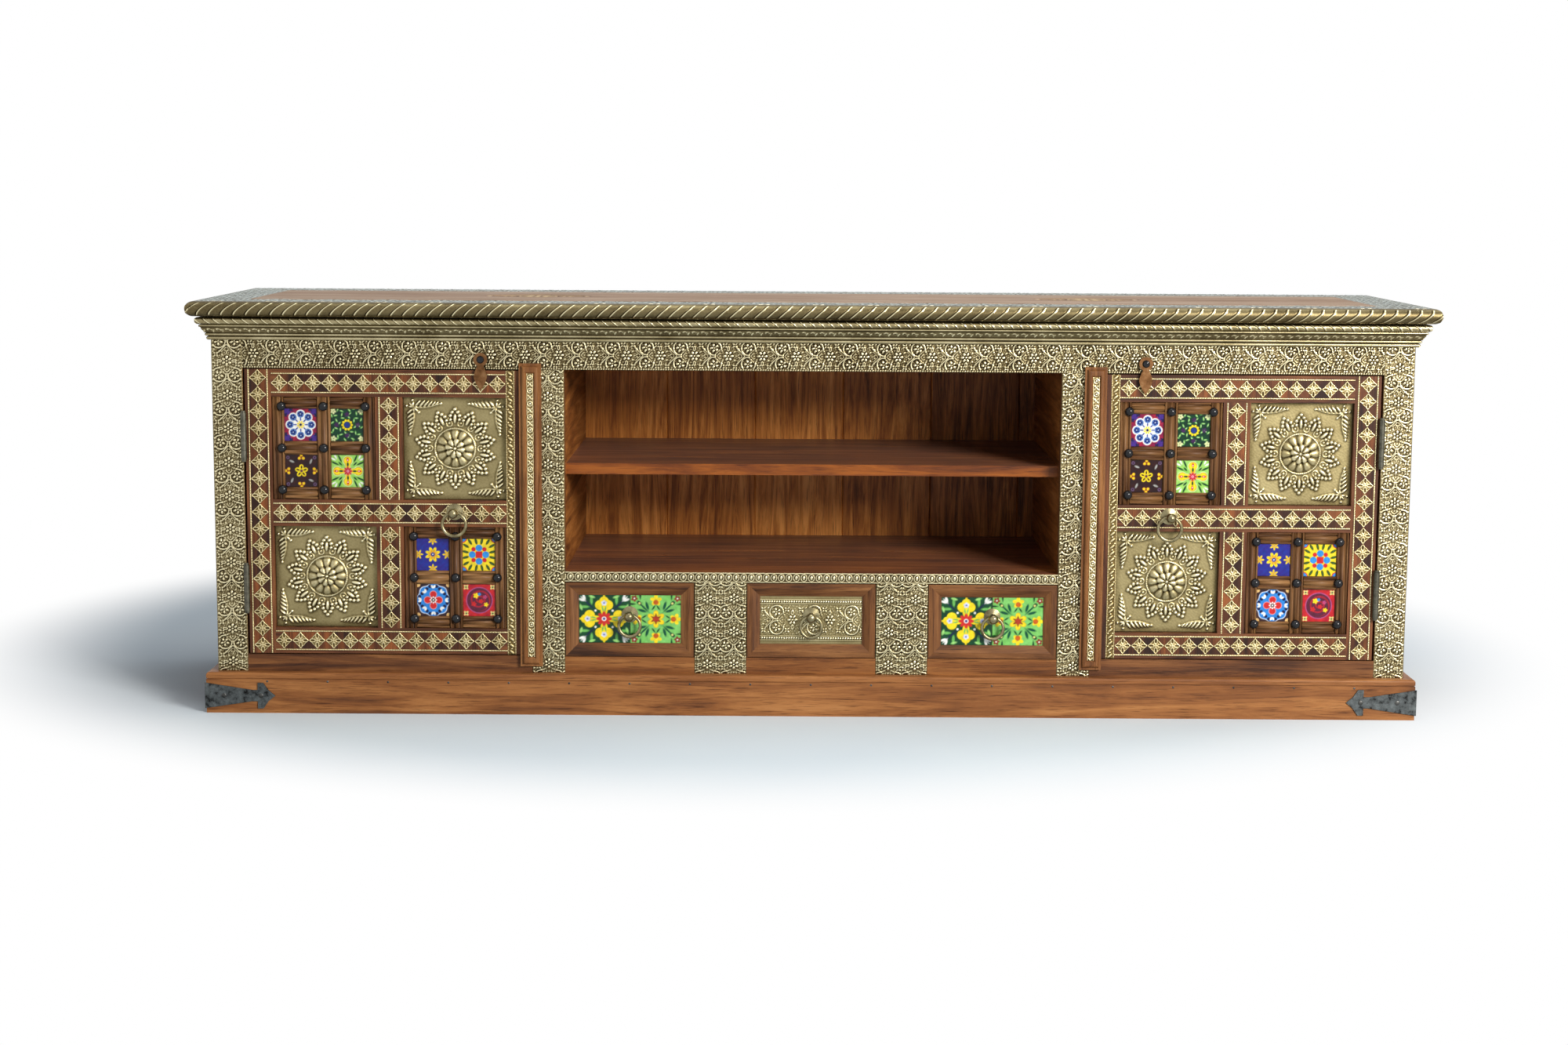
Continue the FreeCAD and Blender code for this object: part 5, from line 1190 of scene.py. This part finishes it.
front_wood = wood("front_wood", X, FRONT_WOOD, 42.3,
                  frames=(DRAWER_STEP / 1000.0, DRAWER_MIDDLE / 1000.0, FRAME_EXCESS))
box_wood = wood("box_wood", Y, TOP_WOOD, 45.5, gloss=0.5)
half = (FIELD_X - JOINT) / 2.0
for name, count in (("left", -1.0), ("middle", 0.0), ("right", 1.0)):
    dress(front_wood, f"drawer_{name}_front")
    dress(box_wood, f"drawer_{name}_box")
    if count:
        made = []
        for beside, design in ((-1.0, TULIP), (1.0, MEADOW)):
            made.append(tile(count * DRAWER_STEP + beside * (JOINT + half), DRAWER_MIDDLE, half, FIELD_Z,
                             FIELD_FRONT, FIELD_BACK, design))
        lay_tiles(f"drawer_{name}_tiles", made, f"drawer_{name}", f"drawer_{name}_inlay")


def drawer_sheet(u, v):
    """The sheet of the middle drawer: the die in a broad band, a beaded row and two threads on each side."""
    z = np.abs(v - DRAWER_MIDDLE)
    band = arabesque(v - DRAWER_MIDDLE, u, pitch=55.0, width=44.0) * unit((22.5 - z) / 0.8)
    beads = bead_row(u, z - 27.0, 3.6, 1.5)
    return highest(band, beads, 0.5 * dome(z - 24.2, 0.7), 0.5 * dome(z - 30.0, 0.7))


field = (-FIELD_X, FIELD_X), (DRAWER_MIDDLE - FIELD_Z, DRAWER_MIDDLE + FIELD_Z)
piece = embossed("drawer_middle_sheet", *field, 0.85, drawer_sheet, (FIELD_BACK, -187.2, -188.3), upright,
                 "drawer_middle", panel_brass, gain=1.0, level=0.38, slot="brass_clad_wood")
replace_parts(piece, "drawer_middle_inlay")


# The ring pulls: cast brass, whose colour and gloss wander in clouds.
# A stem through the door or drawer front holds each eye, and the ring hangs in it.
def metal(name, seed, stops, rough_low, rough_high, scale=90.0):
    """Plain worked metal: colour and gloss wander with two noises, with fine pits in the surface."""
    made, tree, shader = material(name)
    place = step(tree, "TexCoord").outputs["Object"]
    cloud = noise(tree, place, scale, seed, detail=5.0)
    pits = noise(tree, place, scale * 11.0, seed + 1.9, detail=2.0)
    factor = sums(tree, (cloud, 0.8), (pits, 0.2))
    fill(tree, shader, {
        "Base Color": ramp(tree, factor, stops),
        "Roughness": ranged(tree, factor, 0.3, 0.7, rough_high, rough_low),
        "Normal": bumped(tree, 0.2, 0.0003, pits),
        "Metallic": 1.0,
    })
    return made


PULL_BRASS = [(0.32, (0.095, 0.078, 0.040)), (0.50, (0.240, 0.205, 0.112)), (0.70, (0.430, 0.380, 0.225))]
pull_brass = metal("pull_brass", 5.5, PULL_BRASS, 0.20, 0.36)
for piece in ("door_left", "door_right", "drawer_left", "drawer_middle", "drawer_right"):
    dress(pull_brass, piece + "_knob", piece + "_ring")

# The hinges: dark bronze knuckles on long pins, their leaves sunk in the gap beside the door.
# The turn latches: brown brass, each hung from one black screw in the frieze.
HINGE_BRONZE = [(0.34, (0.052, 0.050, 0.038)), (0.66, (0.160, 0.154, 0.120))]
LATCH_COPPER = [(0.34, (0.070, 0.031, 0.011)), (0.52, (0.160, 0.076, 0.031)), (0.70, (0.280, 0.155, 0.070))]
hinge_bronze = metal("hinge_bronze", 7.7, HINGE_BRONZE, 0.28, 0.46)
latch_copper = metal("latch_copper", 9.9, LATCH_COPPER, 0.34, 0.52)
dress(hinge_bronze, "hinge_frame_leaves", "hinge_pins", "door_left_hinge_leaves", "door_right_hinge_leaves")
dress(latch_copper, "latch_left", "latch_right")
dress(nail_black, "latch_screws")

# The plinth's corner straps: blackened sheet iron in grey blotches, two countersunk screws on each leg.
# A line of small iron nails runs along the plinth's upper edge.
STRAP_IRON = [(0.38, (0.010, 0.010, 0.010)), (0.45, (0.058, 0.064, 0.065)), (0.68, (0.135, 0.150, 0.152))]
SCREW_IRON = [(0.36, (0.020, 0.020, 0.020)), (0.66, (0.110, 0.110, 0.105))]
strap_iron = metal("strap_iron", 11.2, STRAP_IRON, 0.42, 0.62, scale=120.0)
screw_iron = metal("screw_iron", 13.6, SCREW_IRON, 0.35, 0.55)
dress(strap_iron, "corner_straps")
STRAP_FRONT, STRAP_MIDDLE, STRAP_CORNER = -211.0, 26.0, 886.0
PLINTH_FACE, NAIL_HEIGHT = -209.0, 47.0
screws = [(side * (STRAP_CORNER - away), STRAP_MIDDLE) for side in SIDES.values() for away in (28.0, 82.0)]
surface("strap_screws", [caps(screws, STRAP_FRONT, 3.6, 1.0)], "carcass", screw_iron)
nails = [(x + 9.0 * np.sin(x), NAIL_HEIGHT) for x in np.arange(-792.0, 800.0, 88.0)]
heads = caps(nails, PLINTH_FACE, 1.6, 0.4, sides=14, rings=5)
surface("plinth_nails", [heads], "carcass", screw_iron)


# The stage: a grey-blue floor near the cabinet that fades to white further out, a painted shadow pool
# in which the lamps' own shadows also fall; soft light from the right and from above,
# and a camera placed and aimed by a fit to the photograph.
def mirrored(tree):
    """One for what the camera sees, straight or in gloss or glass, and nought for what lights the piece."""
    path = step(tree, "LightPath").outputs
    seen = calc(tree, "MAXIMUM", path["Is Camera Ray"], path["Is Glossy Ray"])
    return calc(tree, "MAXIMUM", seen, path["Is Transmission Ray"])


FLOOR, BLANK = 30.0, (1.0, 1.0, 1.0, 1.0)
floor_mesh = bpy.data.meshes.new("floor")
corners = [(-FLOOR, -FLOOR, 0.0), (FLOOR, -FLOOR, 0.0), (FLOOR, FLOOR, 0.0), (-FLOOR, FLOOR, 0.0)]
floor_mesh.from_pydata(corners, [], [(0, 1, 2, 3)])
floor_skin, tree, shader = material("floor")
place = step(tree, "TexCoord").outputs["Object"]
mottle = noise(tree, place, 3.0, 1.0, detail=2.0)
fill(tree, shader, {
    "Base Color": ramp(tree, mottle, [(0.3, (0.63, 0.70, 0.75)), (0.7, (0.66, 0.73, 0.77))]),
    "Roughness": 0.8,
    "Specular IOR Level": 0.1,
})
# An oval round the cabinet where the grey-blue floor shows before it fades to white: painted shadow pool.
shadow_pool = step(tree, "Mapping", {0: place, "Location": (0.08, -0.391, 0.0), "Scale": (0.810, 0.870, 0.0)})
reach = step(tree, "VectorMath", {0: shadow_pool.outputs[0]}, operation="LENGTH")
edge = {0: reach.outputs["Value"], 1: 0.80, 2: 1.10}
fade = step(tree, "MapRange", edge, interpolation_type="SMOOTHSTEP")
share = calc(tree, "MULTIPLY", fade.outputs[0], mirrored(tree))
blank = step(tree, "Emission", {0: BLANK, 1: 1.0})
blend = step(tree, "MixShader", {0: share, 1: shader.outputs[0], 2: blank.outputs[0]})
tree.links.new(blend.outputs[0], tree.nodes["Material Output"].inputs[0])
floor_mesh.materials.append(floor_skin)
floor = bpy.data.objects.new("floor", floor_mesh)
bpy.context.scene.collection.objects.link(floor)

world = bpy.data.worlds.new("studio")
bpy.context.scene.world = world
world.use_nodes = True
tree = world.node_tree
soft, white = tree.nodes["Background"], step(tree, "Background", {0: BLANK, 1: 1.0})
fill(tree, soft, {0: (0.62, 0.66, 0.72, 1.0), 1: 0.26})
mixed = step(tree, "MixShader", {0: mirrored(tree), 1: soft.outputs[0], 2: white.outputs[0]})
tree.links.new(mixed.outputs[0], tree.nodes["World Output"].inputs[0])


def stand(item, right, up, away, place):
    """Put a light or the camera at a place, its axes along right, up and away from what it looks at."""
    item.matrix_world = Matrix([*zip(right, up, away, place), (0.0, 0.0, 0.0, 1.0)])
    bpy.context.scene.collection.objects.link(item)


def softbox(name, place, size, power, colour):
    """A rectangular light that points at the middle of the cabinet."""
    light = bpy.data.lights.new(name, "AREA")
    light.shape = "RECTANGLE"
    light.size, light.size_y = size
    light.energy = power
    light.color = colour
    made = bpy.data.objects.new(name, light)
    made.visible_camera = False
    away = np.array(place) - np.array(AIM)
    away = away / np.linalg.norm(away)
    right = np.cross((0.0, 0.0, 1.0), away)
    right = right / np.linalg.norm(right)
    stand(made, right, np.cross(away, right), away, place)


AIM = (0.0, 0.0, 0.3)
softbox("key", (2.55, -3.75, 1.9), (1.5, 1.5), 274.0, (1.0, 0.97, 0.93))
softbox("fill", (-2.4, -4.0, 1.8), (2.4, 1.8), 3.0, (0.93, 0.96, 1.0))
softbox("overhead", (0.3, -0.2, 3.2), (3.0, 2.0), 55.0, (0.95, 0.98, 1.0))
EYE, PITCH, YAW, ROLL = (-0.0394652, -3.88695, 0.7803543), 0.1335, -0.0003, 0.0065
FOCAL_SHARE, SENSOR = 3264.9584 / 2000.0, 36.0
camera = bpy.data.cameras.new("camera")
camera.sensor_fit, camera.sensor_width, camera.lens = "HORIZONTAL", SENSOR, FOCAL_SHARE * SENSOR
ahead = np.array([np.sin(YAW) * np.cos(PITCH), np.cos(YAW) * np.cos(PITCH), -np.sin(PITCH)])
level = np.array([np.cos(YAW), -np.sin(YAW), 0.0])
over_head = np.cross(level, ahead)
right = level * np.cos(ROLL) + over_head * np.sin(ROLL)
up = over_head * np.cos(ROLL) - level * np.sin(ROLL)
viewer = bpy.data.objects.new("camera", camera)
stand(viewer, right, up, -ahead, EYE)
bpy.context.scene.camera = viewer
bpy.context.scene.view_settings.view_transform = "Standard"
